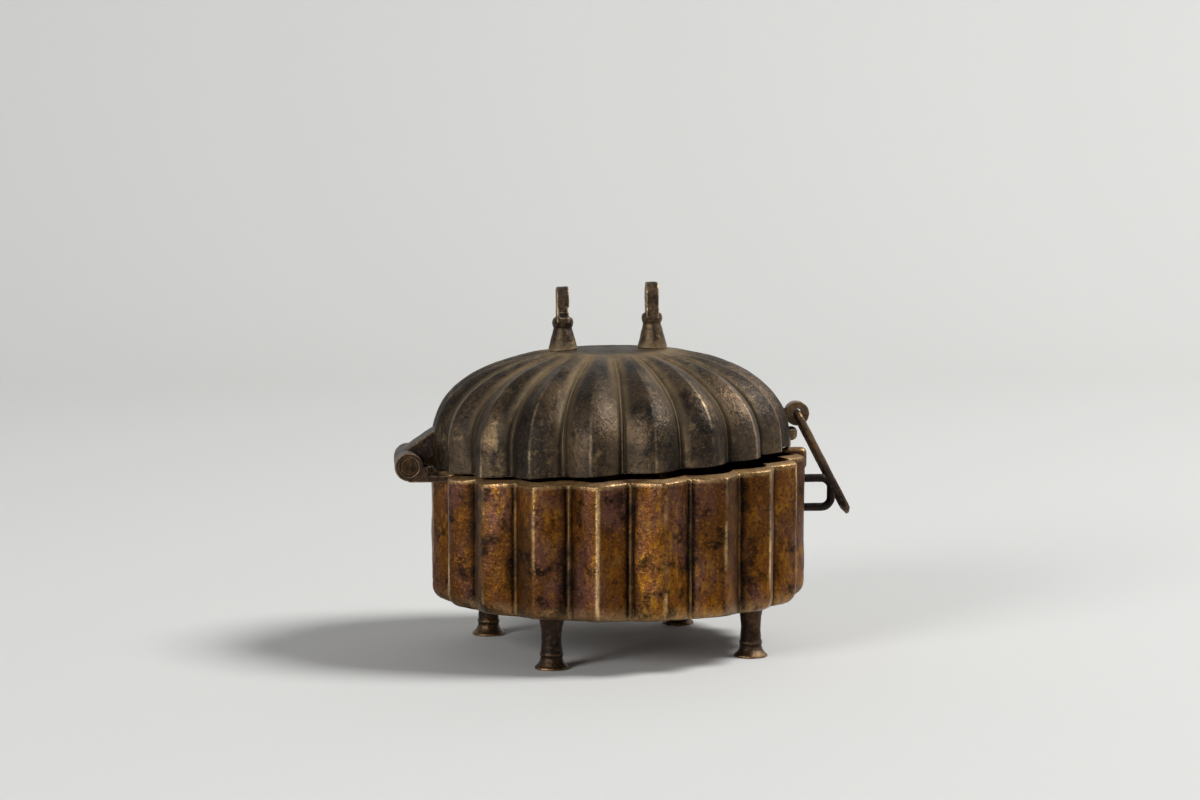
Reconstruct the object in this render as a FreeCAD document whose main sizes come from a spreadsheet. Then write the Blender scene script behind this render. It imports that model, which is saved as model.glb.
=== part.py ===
"""Lobed bronze casket on four turned feet, with a hinged lid, two handle posts, a hasp and a staple.

Millimetres. The origin is on the body's upright axis, on the surface that the feet stand on.
+X points to the hasp, -X to the hinge, -Y to the front, and +Z up.
"""
import FreeCAD, Part
import math
import os

import Sketcher
from FreeCAD import Placement, Rotation, Vector

doc = FreeCAD.newDocument("casket")
sheet = doc.addObject("Spreadsheet::Sheet", "Sizes")

# Driving dimensions, in millimetres and degrees
DRIVING = {
    # Lobes that the body and the lid share
    "lobe_count": 20,
    "lobe_drift": 3.2,
    "lobe_bulge": 0.8,
    # Body casting
    "ridge_radius": 80,
    "groove_depth": 7,
    "body_wall": 4,
    "body_floor": 4,
    "bottom_round": 6.5,
    "rim_height": 80,
    "rim_slope": 2.2,
    "rim_bevel_wide": 4,
    "rim_bevel_deep": 1.3,
    "rim_lug_width": 5.6,
    "rim_lug_rise": 1.56,
    "rim_lug_reach": 0.8,
    "rim_lug_round": 2.2,
    # Feet
    "foot_height": 22,
    "foot_inset": 18,
    "foot_turn_angle": 60,
    "foot_base_radius": 7.15,
    "foot_base_edge": 0.9,
    "foot_neck_radius": 4.45,
    "foot_flare_height": 5.2,
    "foot_flare_round": 6.2,
    "foot_bead_height": 1.8,
    "foot_bead_swell": 0.5,
    "foot_shaft_round": 30,
    "foot_top_radius": 5.8,
    "foot_tenon_radius": 3,
    # Peened ends of tenons and shanks
    "peen_spread": 1.4,
    "peen_thick": 1.3,
    "tenon_play": 0.02,
    # Hinge
    "pin_reach": 8.5,
    "pin_drop": 0.6,
    "pin_radius": 3.9,
    "pin_play": 0.06,
    "pin_recess": 0.8,
    "knuckle_radius": 6,
    "lid_knuckle_length": 18,
    "body_knuckle_length": 10.5,
    "knuckle_gap": 0.3,
    "neck_drop": 3.5,
    "neck_depth": 3,
    "neck_shoulder": 8.1,
    "neck_tenon_radius": 1.4,
    "arm_length": 25,
    "arm_slant": 33,
    "arm_under": 3,
    "arm_shank_radius": 2.4,
    "arm_shank_lift": 9,
    # Lid casting
    "lid_rest_angle": 0.8,
    "lid_back": 2.9,
    "lid_drop": 2.6,
    "lid_edge_slope": 2.63,
    "lid_straight": 6,
    "lid_inset": 3.7,
    "lid_rise": 41,
    "lid_power": 2.45,
    "lid_groove_depth": 6.5,
    "lid_groove_fade": 0.8,
    "lid_bulge_fade": 0.6,
    "lid_wall": 3,
    "lid_peen_reach": 3,
    "disc_radius": 26,
    "disc_crown": 1.1,
    "lid_lug_width": 6,
    "lid_lug_reach": 7,
    "lid_boss_reach": 10,
    "lid_boss_low": 5.7,
    "lid_boss_high": 11.6,
    "lid_boss_round": 2.4,
    "lug_gap": 0.05,
    # Handle posts
    "post_spacing": 37.8,
    "post_back": 0.5,
    "post_base_radius": 6.3,
    "post_neck_radius": 3.85,
    "post_cone_height": 10,
    "post_collar_radius": 4.55,
    "post_collar_height": 4.3,
    "post_tenon_radius": 3,
    "tongue_height": 13.2,
    "tongue_width": 9.4,
    "tongue_thick": 5.4,
    "eye_bore_radius": 2.5,
    "eye_bore_rise": 4.8,
    "worn_post_drop": 1.3,
    "worn_gap_low": 0.3,
    "worn_gap_height": 4,
    "worn_gap_edge": 1.2,
    # Hasp eye, link and staple
    "hasp_eye_reach": 9.8,
    "hasp_eye_lift": 17.2,
    "hasp_eye_radius": 5.2,
    "hasp_eye_bore": 2.1,
    "hasp_eye_width": 6,
    "hasp_shank_radius": 2.4,
    "link_rod_radius": 1.7,
    "link_slot_width": 7.6,
    "link_slot_length": 44,
    "link_bend": 2.4,
    "link_tip_length": 2.8,
    "link_tip_base": 1.5,
    "link_tip_radius": 0.9,
    "link_hang_angle": 27.4,
    "staple_rod_radius": 1.8,
    "staple_top_drop": 9,
    "staple_span": 12.4,
    "staple_reach": 13.2,
    "staple_bend": 4,
}

for row, (alias, amount) in enumerate(DRIVING.items(), start=1):
    sheet.set(f"A{row}", alias.replace("_", " "))
    sheet.set(f"B{row}", str(amount))
    sheet.setAlias(f"B{row}", alias)
doc.recompute()


class Size:
    """A number together with the sheet formula that gives it."""

    def __init__(self, number, formula):
        self.number = number
        self.formula = formula

    def joined(self, sign, other, number):
        right = other.formula if isinstance(other, Size) else repr(other)
        return Size(number, f"({self.formula} {sign} {right})")

    def __add__(self, other):
        return self.joined("+", other, self.number + plain(other))

    def __sub__(self, other):
        return self.joined("-", other, self.number - plain(other))

    def __mul__(self, other):
        return self.joined("*", other, self.number * plain(other))

    def __truediv__(self, other):
        return self.joined("/", other, self.number / plain(other))

    def __neg__(self):
        return Size(-self.number, f"(0 - {self.formula})")


def plain(value):
    """The number of a size, or of a plain number."""
    return value.number if isinstance(value, Size) else value


def size(alias):
    return Size(sheet.get(alias), f"Sizes.{alias}")


def number(alias):
    return sheet.get(alias)


def bind(item, prop, value):
    """Sets a property from a size, bound to the sheet, or from a plain number."""
    if isinstance(value, Size):
        item.setExpression(prop, value.formula)
    else:
        item.setExpression(prop, repr(float(value)))


def bind_base(item, base):
    for letter, value in zip("xyz", base):
        bind(item, f"Placement.Base.{letter}", value)


# Places worked out from the driving dimensions
UPRIGHT = Rotation()
ALONG_X = Rotation(Vector(0, 1, 0), 90)
ALONG_Y = Rotation(Vector(1, 0, 0), -90)
Y_AXIS = Vector(0, 1, 0)
Z_AXIS = Vector(0, 0, 1)
pin_x = -(size("ridge_radius") + size("pin_reach"))
pin_z = size("rim_height") - size("pin_drop")
foot_circle = size("ridge_radius") - size("foot_inset")
lid_radius = size("ridge_radius") - size("lid_inset")
disc_share = size("disc_radius") / lid_radius
disc_height = Size(
    number("lid_rise") * (1 - disc_share.number ** number("lid_power")) ** (1 / number("lid_power")),
    f"(Sizes.lid_rise * (1 - {disc_share.formula} ^ Sizes.lid_power) ^ (1 / Sizes.lid_power))",
)
dome_base = pin_z + size("lid_straight")
lid_top = dome_base + disc_height + size("disc_crown")
groove_radius = number("ridge_radius") - number("groove_depth")
lid_groove_radius = lid_radius.number - number("lid_groove_depth")
lug_top = number("rim_height") + groove_radius * math.tan(math.radians(number("rim_slope")))
lug_top = lug_top + number("rim_lug_rise")
FAR = 4 * number("ridge_radius")
SNAP = 0.01
MARGIN = 2 * number("body_wall")

pin_point = Vector(pin_x.number, 0, pin_z.number)
LID_REST = Placement(Vector(), Rotation(-Y_AXIS, number("lid_rest_angle")), pin_point)


# Shapes of the lobed castings

def lobe_angle(half_step):
    """Angle of a groove (even half steps) or a ridge (odd ones), with the slow drift of hand spacing."""
    even = half_step * 180 / number("lobe_count")
    return math.radians(even - number("lobe_drift") * math.sin(math.radians(2 * even)))


def lobed_wire(ridge, groove, bulge, centre_x):
    """Closed wire of arcs through ridge and groove points, each given as (radius, height)."""
    centre = Vector(centre_x, 0, 0)
    edges = []
    points = []
    for half_step in range(2 * int(number("lobe_count"))):
        radius, height = ridge if half_step % 2 else groove
        angle = lobe_angle(half_step)
        points.append(centre + Vector(radius * math.cos(angle), radius * math.sin(angle), height))
    for start, end in zip(points, points[1:] + points[:1]):
        middle = (start + end) / 2
        outward = Vector(middle.x - centre_x, middle.y, 0).normalize()
        edges.append(Part.Arc(start, middle + outward * bulge, end).toShape())
    return Part.Wire(edges)


def lobed_prism(ridge_radius, groove, bottom, top):
    wire = lobed_wire((ridge_radius, bottom), (groove, bottom), number("lobe_bulge"), 0)
    return Part.Face(wire).extrude(Vector(0, 0, top - bottom))


def rim_envelope():
    """Everything below the sloping rim, with the outer corner of the rim bevelled."""
    radius = number("ridge_radius")
    deep = number("rim_bevel_deep")
    wide = number("rim_bevel_wide")
    below = Part.makeCylinder(FAR, FAR, Vector(0, 0, -FAR - deep))
    cone = Part.makeCone(radius, radius - wide, deep, Vector(0, 0, -deep))
    shape = below.fuse(cone)
    shape.Placement = Placement(Vector(0, 0, number("rim_height")), Rotation(-Y_AXIS, number("rim_slope")))
    return shape


def bottom_envelope(radius, bottom, rounding):
    """Upright cylinder whose lower edge is rounded."""
    drum = Part.makeCylinder(radius, FAR, Vector(0, 0, bottom))
    low_edge = min(drum.Edges, key=lambda edge: edge.BoundBox.ZMax)
    return drum.makeFillet(rounding, [low_edge])


def body_outside():
    low = number("foot_height")
    prism = lobed_prism(number("ridge_radius"), groove_radius, low, number("rim_height") + MARGIN)
    rounded = bottom_envelope(number("ridge_radius") + number("lobe_bulge"), low, number("bottom_round"))
    return prism.common(rounded).common(rim_envelope())


def body_inside():
    wall = number("body_wall")
    low = number("foot_height") + number("body_floor")
    prism = lobed_prism(number("ridge_radius") - wall, groove_radius - wall, low, number("rim_height") + MARGIN)
    radius = number("ridge_radius") - wall + number("lobe_bulge")
    return prism.common(bottom_envelope(radius, low, number("bottom_round") - wall / 2))


def rim_lug():
    """Raised lug in the groove at the hasp, flush with the inside of the wall."""
    inner_x = groove_radius - number("body_wall")
    outer_x = number("ridge_radius") + number("rim_lug_reach")
    low = number("rim_height") - number("body_wall")
    width = number("rim_lug_width")
    block = Part.makeBox(outer_x - inner_x, width, lug_top - low, Vector(inner_x, -width / 2, low))
    outer_top = [edge for edge in block.Edges if edge.BoundBox.XMin > outer_x - SNAP]
    outer_top = [edge for edge in outer_top if edge.BoundBox.ZMin > lug_top - SNAP]
    return block.makeFillet(number("rim_lug_round"), outer_top)


def dome_profile(share):
    """Point and outward normal, as (radius, height), at a share of the way from lid edge to disc."""
    power = 2 / number("lid_power")
    disc = math.acos(disc_share.number ** (1 / power))
    turn = share * disc
    radius = lid_radius.number * math.cos(turn) ** power
    height = number("lid_rise") * math.sin(turn) ** power
    steep_r = (radius / lid_radius.number) ** (number("lid_power") - 1) / lid_radius.number
    steep_z = (height / number("lid_rise")) ** (number("lid_power") - 1) / number("lid_rise")
    length = math.hypot(steep_r, steep_z)
    return radius, height, steep_r / length, steep_z / length


def dome_wire(share, inset):
    radius, height, out_r, out_z = dome_profile(share)
    depth = number("lid_groove_depth") * (1 - share) ** number("lid_groove_fade")
    ridge = (radius - inset * out_r, height - inset * out_z)
    groove = (ridge[0] - depth * out_r, ridge[1] - depth * out_z)
    bulge = number("lobe_bulge") * (1 - number("lid_bulge_fade") * share)
    return lobed_wire(ridge, groove, bulge, -number("lid_back"))


DOME_STEPS = 9


def lid_dome(inset):
    """Solid under the lid's surface, straight below the dome and closed flat at the disc."""
    wires = [dome_wire(step / DOME_STEPS, inset) for step in range(DOME_STEPS + 1)]
    reach_down = number("lid_straight") + number("lid_drop") + number("lid_wall") + inset
    for share in (0.5, 1):
        lowered = dome_wire(0, inset)
        lowered.translate(Vector(0, 0, -reach_down * share))
        wires.insert(0, lowered)
    dome = Part.makeLoft(wires, True, False)
    dome.translate(Vector(0, 0, dome_base.number))
    return dome


def disc_cap():
    """Slightly domed disc on top of the lid, as a slice of a large sphere."""
    rise = number("disc_crown")
    radius = number("disc_radius")
    ball_radius = (radius ** 2 + rise ** 2) / (2 * rise)
    centre = Vector(-number("lid_back"), 0, lid_top.number)
    ball = Part.makeSphere(ball_radius, centre - Z_AXIS * ball_radius)
    slab = Part.makeCylinder(radius, 2 * rise, centre - Z_AXIS * rise)
    return ball.common(slab)


def edge_floor():
    """Block below the lid's edge, which slopes up from the hinge to the hasp."""
    block = Part.makeBox(FAR, FAR, FAR, Vector(-FAR / 4, -FAR / 2, -FAR))
    low_point = Vector(pin_x.number, 0, pin_z.number - number("lid_drop"))
    block.Placement = Placement(low_point, Rotation(-Y_AXIS, number("lid_edge_slope")))
    return block


def lid_outside():
    return lid_dome(0).fuse(disc_cap()).cut(edge_floor()).removeSplitter()


def rest_floor():
    """Block below the rim lug's top, as the resting lid sees it."""
    block = Part.makeBox(FAR, FAR, FAR, Vector(0, -FAR / 2, lug_top + number("lug_gap") - FAR))
    block.Placement = LID_REST.inverse().multiply(block.Placement)
    return block


def lid_block(reach, low, high):
    """Block on the lid's groove at the hasp, between two heights above the pin."""
    inner_x = lid_groove_radius - number("lid_back") - number("lid_wall")
    outer_x = lid_groove_radius - number("lid_back") + reach
    width = number("lid_lug_width")
    return Part.makeBox(outer_x - inner_x, width, high - low, Vector(inner_x, -width / 2, pin_z.number + low))


def lid_lug():
    """Boss under the hasp eye, and the lug below it that lands on the rim lug."""
    boss = lid_block(number("lid_boss_reach"), number("lid_boss_low"), number("lid_boss_high"))
    outer_x = boss.BoundBox.XMax
    outer = [edge for edge in boss.Edges if edge.BoundBox.XMin > outer_x - SNAP]
    corners = [edge for edge in outer if edge.BoundBox.YLength > SNAP]
    boss = boss.makeFillet(number("lid_boss_round"), corners)
    lug = lid_block(number("lid_lug_reach"), -number("lid_drop") - MARGIN, number("lid_boss_high"))
    return boss.fuse(lug.cut(rest_floor()))


# Helpers for sub-parts made from primitives and sketches

def primitive(kind, name, sizes, base, rotation=UPRIGHT):
    item = doc.addObject(f"Part::{kind}", name)
    item.Placement = Placement(Vector(), rotation)
    for prop, value in sizes.items():
        bind(item, prop, value)
    bind_base(item, base)
    return item


def cylinder(name, radius, height, base, rotation=UPRIGHT):
    return primitive("Cylinder", name, {"Radius": radius, "Height": height}, base, rotation)


def box(name, length, width, height, base):
    return primitive("Box", name, {"Length": length, "Width": width, "Height": height}, base)


def fuse(name, items):
    item = doc.addObject("Part::MultiFuse", name)
    item.Shapes = items
    item.Refine = True
    return item


def cut(name, base, tool):
    item = doc.addObject("Part::Cut", name)
    item.Base = base
    item.Tool = tool
    return item


def common(name, base, tool):
    item = doc.addObject("Part::Common", name)
    item.Base = base
    item.Tool = tool
    return item


def feature(name, shape):
    item = doc.addObject("Part::Feature", name)
    item.Shape = shape
    return item


def origin_plane(body, role):
    return next(part for part in body.Origin.OriginFeatures if part.Role == role)


def new_sketch(body, name, role):
    sketch = body.newObject("Sketcher::SketchObject", name)
    sketch.AttachmentSupport = (origin_plane(body, role), [""])
    sketch.MapMode = "FlatFace"
    return sketch


def bound_constraint(sketch, constraint_parts, value):
    index = sketch.addConstraint(Sketcher.Constraint(*constraint_parts, plain(value)))
    if isinstance(value, Size):
        sketch.setExpression(f"Constraints[{index}]", value.formula)


def pin_corner(sketch, edge, corner, point):
    """Holds one end of a sketch edge at a bound place."""
    across, up = point
    if plain(across) == 0:
        sketch.addConstraint(Sketcher.Constraint("PointOnObject", edge, corner, -2))
    else:
        bound_constraint(sketch, ("DistanceX", -1, 1, edge, corner), across)
    if plain(up) == 0:
        sketch.addConstraint(Sketcher.Constraint("PointOnObject", edge, corner, -1))
    else:
        bound_constraint(sketch, ("DistanceY", -1, 1, edge, corner), up)


def arc_through(start, end, radius, side):
    """Arc between two points, bowed to the left (+1) or right (-1) of the way it runs."""
    chord = end - start
    half = chord.Length / 2
    left = Vector(-chord.y, chord.x, 0).normalize()
    sagitta = radius - math.sqrt(radius ** 2 - half ** 2)
    middle = (start + end) / 2 + left * side * sagitta
    # A sketch holds its arcs anticlockwise, so one that bows to the left is drawn from its end
    return Part.ArcOfCircle(end, middle, start) if side > 0 else Part.ArcOfCircle(start, middle, end)


def outline(sketch, corners, bows, closed=True):
    """Bound outline: corners are (across, up) sizes, bows give the arcs as {corner: (radius, side)}."""
    points = [Vector(plain(across), plain(up), 0) for across, up in corners]
    last = len(points) if closed else len(points) - 1
    for index in range(last):
        start = points[index]
        end = points[(index + 1) % len(points)]
        if index in bows:
            radius, side = bows[index]
            arc = arc_through(start, end, plain(radius), side)
            sketch.addGeometry(arc)
        else:
            sketch.addGeometry(Part.LineSegment(start, end))
    ends = []
    for index in range(last):
        geometry = sketch.Geometry[index]
        first = geometry.StartPoint.distanceToPoint(points[index])
        ends.append((1, 2) if first < 1e-6 else (2, 1))
    for index in range(last):
        follower = (index + 1) % len(points)
        if follower < last:
            join = ("Coincident", index, ends[index][1], follower, ends[follower][0])
            sketch.addConstraint(Sketcher.Constraint(*join))
    for index in range(last):
        pin_corner(sketch, index, ends[index][0], corners[index])
    if not closed:
        pin_corner(sketch, last - 1, ends[last - 1][1], corners[last])
    for index, (radius, _) in bows.items():
        bound_constraint(sketch, ("Radius", index), radius)


def bead_radius(height, swell):
    """Radius of a turned bead of this height that stands out by its swell."""
    half = height / 2
    return (half * half + swell * swell) / (swell * 2)


def turned(body, corners, bows):
    """Revolution of a bound outline about the body's upright axis."""
    profile = new_sketch(body, f"{body.Name}_profile", "XZ_Plane")
    outline(profile, corners, bows)
    turning = body.newObject("PartDesign::Revolution", f"{body.Name}_turning")
    turning.Profile = profile
    turning.ReferenceAxis = (profile, ["V_Axis"])
    turning.Angle = 360
    return turning


def rod(body, path, radius, start_role):
    """Round rod along an open or closed path sketch that starts square to one origin plane."""
    section = new_sketch(body, f"{body.Name}_section", start_role)
    section.addGeometry(Part.Circle(Vector(), Z_AXIS, plain(radius)))
    section.addConstraint(Sketcher.Constraint("Coincident", 0, 3, -1, 1))
    bound_constraint(section, ("Radius", 0), radius)
    pipe = body.newObject("PartDesign::AdditivePipe", f"{body.Name}_rod")
    pipe.Profile = section
    pipe.Spine = path
    return pipe


sub_parts = []


def sub_part(item, label, placement=None):
    """Names a finished piece and puts it in its place."""
    item.Label = label
    if placement is not None:
        item.Placement = placement
    sub_parts.append(item)
    return item


# Feet: turned trumpets with a bead, tenoned through the floor and peened inside
FOOT_NAMES = ["foot_rear_right", "foot_rear_left", "foot_front_left", "foot_front_right"]


def foot(name, quarter):
    body = doc.addObject("PartDesign::Body", name + "_body")
    bead_top = size("foot_flare_height") + size("foot_bead_height")
    floor_top = size("foot_height") + size("body_floor")
    peen_radius = size("foot_tenon_radius") + size("peen_spread")
    corners = [
        (0, 0),
        (size("foot_base_radius"), 0),
        (size("foot_base_radius"), size("foot_base_edge")),
        (size("foot_neck_radius"), size("foot_flare_height")),
        (size("foot_neck_radius"), bead_top),
        (size("foot_neck_radius"), bead_top + size("foot_bead_height")),
        (size("foot_top_radius"), size("foot_height")),
        (size("foot_tenon_radius"), size("foot_height")),
        (size("foot_tenon_radius"), floor_top),
        (peen_radius, floor_top),
        (size("foot_tenon_radius"), floor_top + size("peen_thick")),
        (0, floor_top + size("peen_thick")),
    ]
    bows = {
        2: (size("foot_flare_round"), 1),
        3: (bead_radius(size("foot_bead_height"), size("foot_bead_swell")), -1),
        5: (size("foot_shaft_round"), 1),
    }
    turned(body, corners, bows)
    angle = f"(Sizes.foot_turn_angle + {90 * quarter}) * 1 deg"
    body.setExpression("Placement.Base.x", f"{foot_circle.formula} * cos({angle})")
    body.setExpression("Placement.Base.y", f"{foot_circle.formula} * sin({angle})")
    return sub_part(body, name)


for quarter, foot_name in enumerate(FOOT_NAMES):
    foot(foot_name, quarter)


# Body casting, before it is drilled for tenons and shanks
body_hollow = feature("body_hollow", body_inside())
lid_hollow = feature("lid_hollow", lid_dome(number("lid_wall")))
lid_solid = feature("lid_solid", lid_outside())
body_solid = feature("body_solid", body_outside())
body_casting = body_solid.Shape.cut(body_hollow.Shape).fuse(rim_lug()).removeSplitter()
body_blank = feature("body_blank", body_casting)
lid_casting = lid_solid.Shape.fuse(lid_lug()).cut(lid_hollow.Shape).removeSplitter()
lid_blank = feature("lid_blank", lid_casting)


def peen(name, hollow, shank_radius, seat, end, y, z):
    """Spread head on the inner end of a shank along X, up to the wall of the hollow that it is in."""
    low, high = sorted((seat, end), key=plain)
    head = cylinder(f"{name}_head", shank_radius + size("peen_spread"), high - low, (low, y, z), ALONG_X)
    return common(name, head, hollow)


def inner_face(casting, radius, y, z, side):
    """Place along X where a round tenon of this radius, out of that side, comes clear of the wall inside."""
    probe = Part.makeCylinder(radius, FAR, Vector(0, plain(y), plain(z)), Vector(side, 0, 0))
    reach = casting.common(probe).optimalBoundingBox()
    return reach.XMax if side < 0 else reach.XMin


body_tools = []
lid_tools = []


def shank_and_hole(tools, name, radius, length, base, rotation):
    """Round shank, and a hole for it, a little wider, among the tools that drill the casting."""
    tools.append(cylinder(f"{name}_hole", radius + size("tenon_play"), length, base, rotation))
    return cylinder(name, radius, length, base, rotation)


for foot_name in FOOT_NAMES:
    foot_body = doc.getObject(foot_name + "_body")
    hole = cylinder(f"{foot_name}_hole", size("foot_tenon_radius") + size("tenon_play"), size("foot_height"),
                    (0, 0, size("foot_height") - size("peen_thick")))
    for letter in "xy":
        hole.setExpression(f"Placement.Base.{letter}", f"{foot_body.Name}.Placement.Base.{letter}")
    body_tools.append(hole)


# Body knuckles: a drum on a short neck, tenoned through the wall
def body_knuckle(name, side):
    length = size("body_knuckle_length")
    inner_y = size("lid_knuckle_length") / 2 + size("knuckle_gap")
    start_y = inner_y if side > 0 else -(inner_y + length)
    middle_y = (inner_y + length / 2) * side
    drum = cylinder(f"{name}_drum", size("knuckle_radius"), length, (pin_x, start_y, pin_z), ALONG_Y)
    neck_low = pin_z - size("neck_drop") - size("neck_depth")
    neck_reach = size("pin_reach") + size("groove_depth") + size("body_wall")
    neck = box(f"{name}_neck", neck_reach, length, size("neck_depth"), (pin_x, start_y, neck_low))
    shoulder = box(f"{name}_shoulder", size("neck_shoulder"), length, size("neck_drop") + size("neck_depth"),
                   (pin_x, start_y, neck_low))
    outside = cut(f"{name}_outside", fuse(f"{name}_stock", [drum, neck, shoulder]), body_solid)
    tenon_z = neck_low + size("neck_depth") / 2
    head_radius = size("neck_tenon_radius") + size("peen_spread")
    face_x = inner_face(body_casting, head_radius.number, middle_y, tenon_z, -1)
    inner_x = size("peen_thick") + face_x
    start_x = pin_x + size("knuckle_radius")
    shank = shank_and_hole(body_tools, f"{name}_tenon", size("neck_tenon_radius"), inner_x - start_x,
                           (start_x, middle_y, tenon_z), ALONG_X)
    seat_x = inner_x - size("peen_thick") - size("body_wall")
    head = peen(f"{name}_peen", body_hollow, size("neck_tenon_radius"), seat_x, inner_x, middle_y, tenon_z)
    bore = cylinder(f"{name}_bore", size("pin_radius") + size("tenon_play"), length,
                    (pin_x, start_y, pin_z), ALONG_Y)
    whole = fuse(f"{name}_whole", [outside, shank, head])
    return sub_part(cut(f"{name}_bored", whole, bore), name)


body_knuckle("hinge_knuckle_front", -1)
body_knuckle("hinge_knuckle_rear", 1)

# Hinge pin, a little shorter than the row of knuckles
half_row = size("lid_knuckle_length") / 2 + size("knuckle_gap") + size("body_knuckle_length")
half_pin = half_row - size("pin_recess")
pin = cylinder("hinge_pin_rod", size("pin_radius"), half_pin * 2, (pin_x, -half_pin, pin_z), ALONG_Y)
sub_part(pin, "hinge_pin")


# Staple: bent rod with both ends through the wall and peened inside
def staple():
    body = doc.addObject("PartDesign::Body", "staple_body")
    inner_x = size("ridge_radius") - size("groove_depth") - size("body_wall") - size("peen_thick")
    run = size("ridge_radius") + size("staple_reach") - size("staple_rod_radius") - inner_x
    low_z = size("rim_height") - size("staple_top_drop") - size("staple_span")
    bend = size("staple_bend")
    span = size("staple_span")
    path = new_sketch(body, "staple_path", "XZ_Plane")
    corners = [(0, 0), (run - bend, 0), (run, bend), (run, span - bend), (run - bend, span), (0, span)]
    outline(path, corners, {1: (bend, -1), 3: (bend, -1)}, closed=False)
    rod(body, path, size("staple_rod_radius"), "YZ_Plane")
    bind_base(body, (inner_x, 0, low_z))
    heads = []
    for label, z in (("low", low_z), ("high", low_z + span)):
        seat = inner_x + size("body_wall")
        heads.append(peen(f"staple_{label}_peen", body_hollow, size("staple_rod_radius"), seat, inner_x, 0, z))
        hole_radius = size("staple_rod_radius") + size("tenon_play")
        body_tools.append(cylinder(f"staple_{label}_hole", hole_radius, run / 2, (inner_x, 0, z), ALONG_X))
    sub_part(fuse("staple_whole", [body] + heads), "staple")


staple()

body_drills = fuse("body_drills", body_tools)
sub_part(cut("body_shell_drilled", body_blank, body_drills), "body_shell")


# Middle knuckle on a slanting arm, with a shank through the lid
def lid_hinge_arm():
    length = size("lid_knuckle_length")
    start_y = -(length / 2)
    drum = cylinder("arm_drum", size("knuckle_radius"), length, (pin_x, start_y, pin_z), ALONG_Y)
    slab = box("arm_slab", size("arm_length"), length, size("knuckle_radius") + size("arm_under"),
               (pin_x, start_y, pin_z))
    slab.Placement = Placement(Vector(), Rotation(-Y_AXIS, number("arm_slant")))
    slab.setExpression("Placement.Base.x", f"{pin_x.formula} + Sizes.arm_under * sin(Sizes.arm_slant * 1 deg)")
    slab.setExpression("Placement.Base.z", f"{pin_z.formula} - Sizes.arm_under * cos(Sizes.arm_slant * 1 deg)")
    slab.setExpression("Placement.Rotation.Angle", "Sizes.arm_slant")
    outside = cut("arm_outside", fuse("arm_stock", [drum, slab]), lid_solid)
    groove_x = -(lid_radius + size("lid_back") - size("lid_groove_depth"))
    inner_x = groove_x + size("lid_wall") + size("lid_peen_reach")
    shank_z = pin_z + size("arm_shank_lift")
    start_x = pin_x + size("knuckle_radius")
    shank = shank_and_hole(lid_tools, "arm_shank", size("arm_shank_radius"), inner_x - start_x,
                           (start_x, 0, shank_z), ALONG_X)
    head = peen("arm_peen", lid_hollow, size("arm_shank_radius"), groove_x, inner_x, 0, shank_z)
    bore = cylinder("arm_bore", size("pin_radius") + size("pin_play"), length, (pin_x, start_y, pin_z), ALONG_Y)
    whole = fuse("arm_whole", [outside, shank, head])
    sub_part(cut("arm_bored", whole, bore), "lid_hinge_arm", LID_REST)


lid_hinge_arm()


# Handle posts: turned cone and collar with a flat tongue above, bored for a swing handle
def handle_post(name, side, worn):
    body = doc.addObject("PartDesign::Body", name + "_body")
    sink = size("disc_crown") * 2
    cone_height = size("post_cone_height") - size("worn_post_drop") if worn else size("post_cone_height")
    cone_top = sink + cone_height
    collar_top = cone_top + size("post_collar_height")
    half = size("post_collar_height") / 2
    corners = [
        (0, 0),
        (size("post_base_radius"), 0),
        (size("post_base_radius"), sink),
        (size("post_neck_radius"), cone_top),
        (size("post_neck_radius"), collar_top),
        (0, collar_top),
    ]
    swell = size("post_collar_radius") - size("post_neck_radius")
    turned(body, corners, {3: (bead_radius(size("post_collar_height"), swell), -1)})
    x = (size("post_spacing") / 2) * side - size("lid_back") - size("post_back")
    base_z = lid_top - sink
    bind_base(body, (x, 0, base_z))
    thick = size("tongue_thick")
    width = size("tongue_width")
    tongue_z = base_z + collar_top - half
    round_z = base_z + collar_top + size("tongue_height") - width / 2
    plate = box(f"{name}_plate", thick, width, round_z - tongue_z, (x - thick / 2, -(width / 2), tongue_z))
    crown = cylinder(f"{name}_crown", width / 2, thick, (x - thick / 2, 0, round_z), ALONG_X)
    bore_z = base_z + collar_top + size("eye_bore_rise")
    bore = cylinder(f"{name}_bore", size("eye_bore_radius"), thick, (x - thick / 2, 0, bore_z), ALONG_X)
    cuts = [bore]
    if worn:
        gap_z = base_z + collar_top + size("worn_gap_low")
        cuts.append(box(f"{name}_worn_gap", thick, width / 2, size("worn_gap_height"),
                        (x - thick / 2 + size("worn_gap_edge"), -(width / 2), gap_z)))
    turned_whole = fuse(f"{name}_stock", [body, plate, crown])
    bored = cut(f"{name}_bored", turned_whole, fuse(f"{name}_cuts", cuts) if worn else bore)
    outside = cut(f"{name}_outside", bored, lid_solid)
    inner_z = lid_top - size("lid_wall") - size("disc_crown") - size("peen_thick")
    tenon_length = lid_top - inner_z + size("post_cone_height") / 2
    shank = shank_and_hole(lid_tools, f"{name}_tenon", size("post_tenon_radius"), tenon_length,
                           (x, 0, inner_z), UPRIGHT)
    head_radius = size("post_tenon_radius") + size("peen_spread")
    head = cylinder(f"{name}_head", head_radius, size("lid_wall"), (x, 0, inner_z))
    peened = common(f"{name}_peen", head, lid_hollow)
    sub_part(fuse(f"{name}_whole", [outside, shank, peened]), name, LID_REST)


handle_post("handle_post_left", -1, True)
handle_post("handle_post_right", 1, False)

# Hasp eye: ring on a shank through the lid, above the lid lug
eye_x = lid_radius - size("lid_groove_depth") - size("lid_back") + size("hasp_eye_reach")
eye_z = pin_z + size("hasp_eye_lift")


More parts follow.
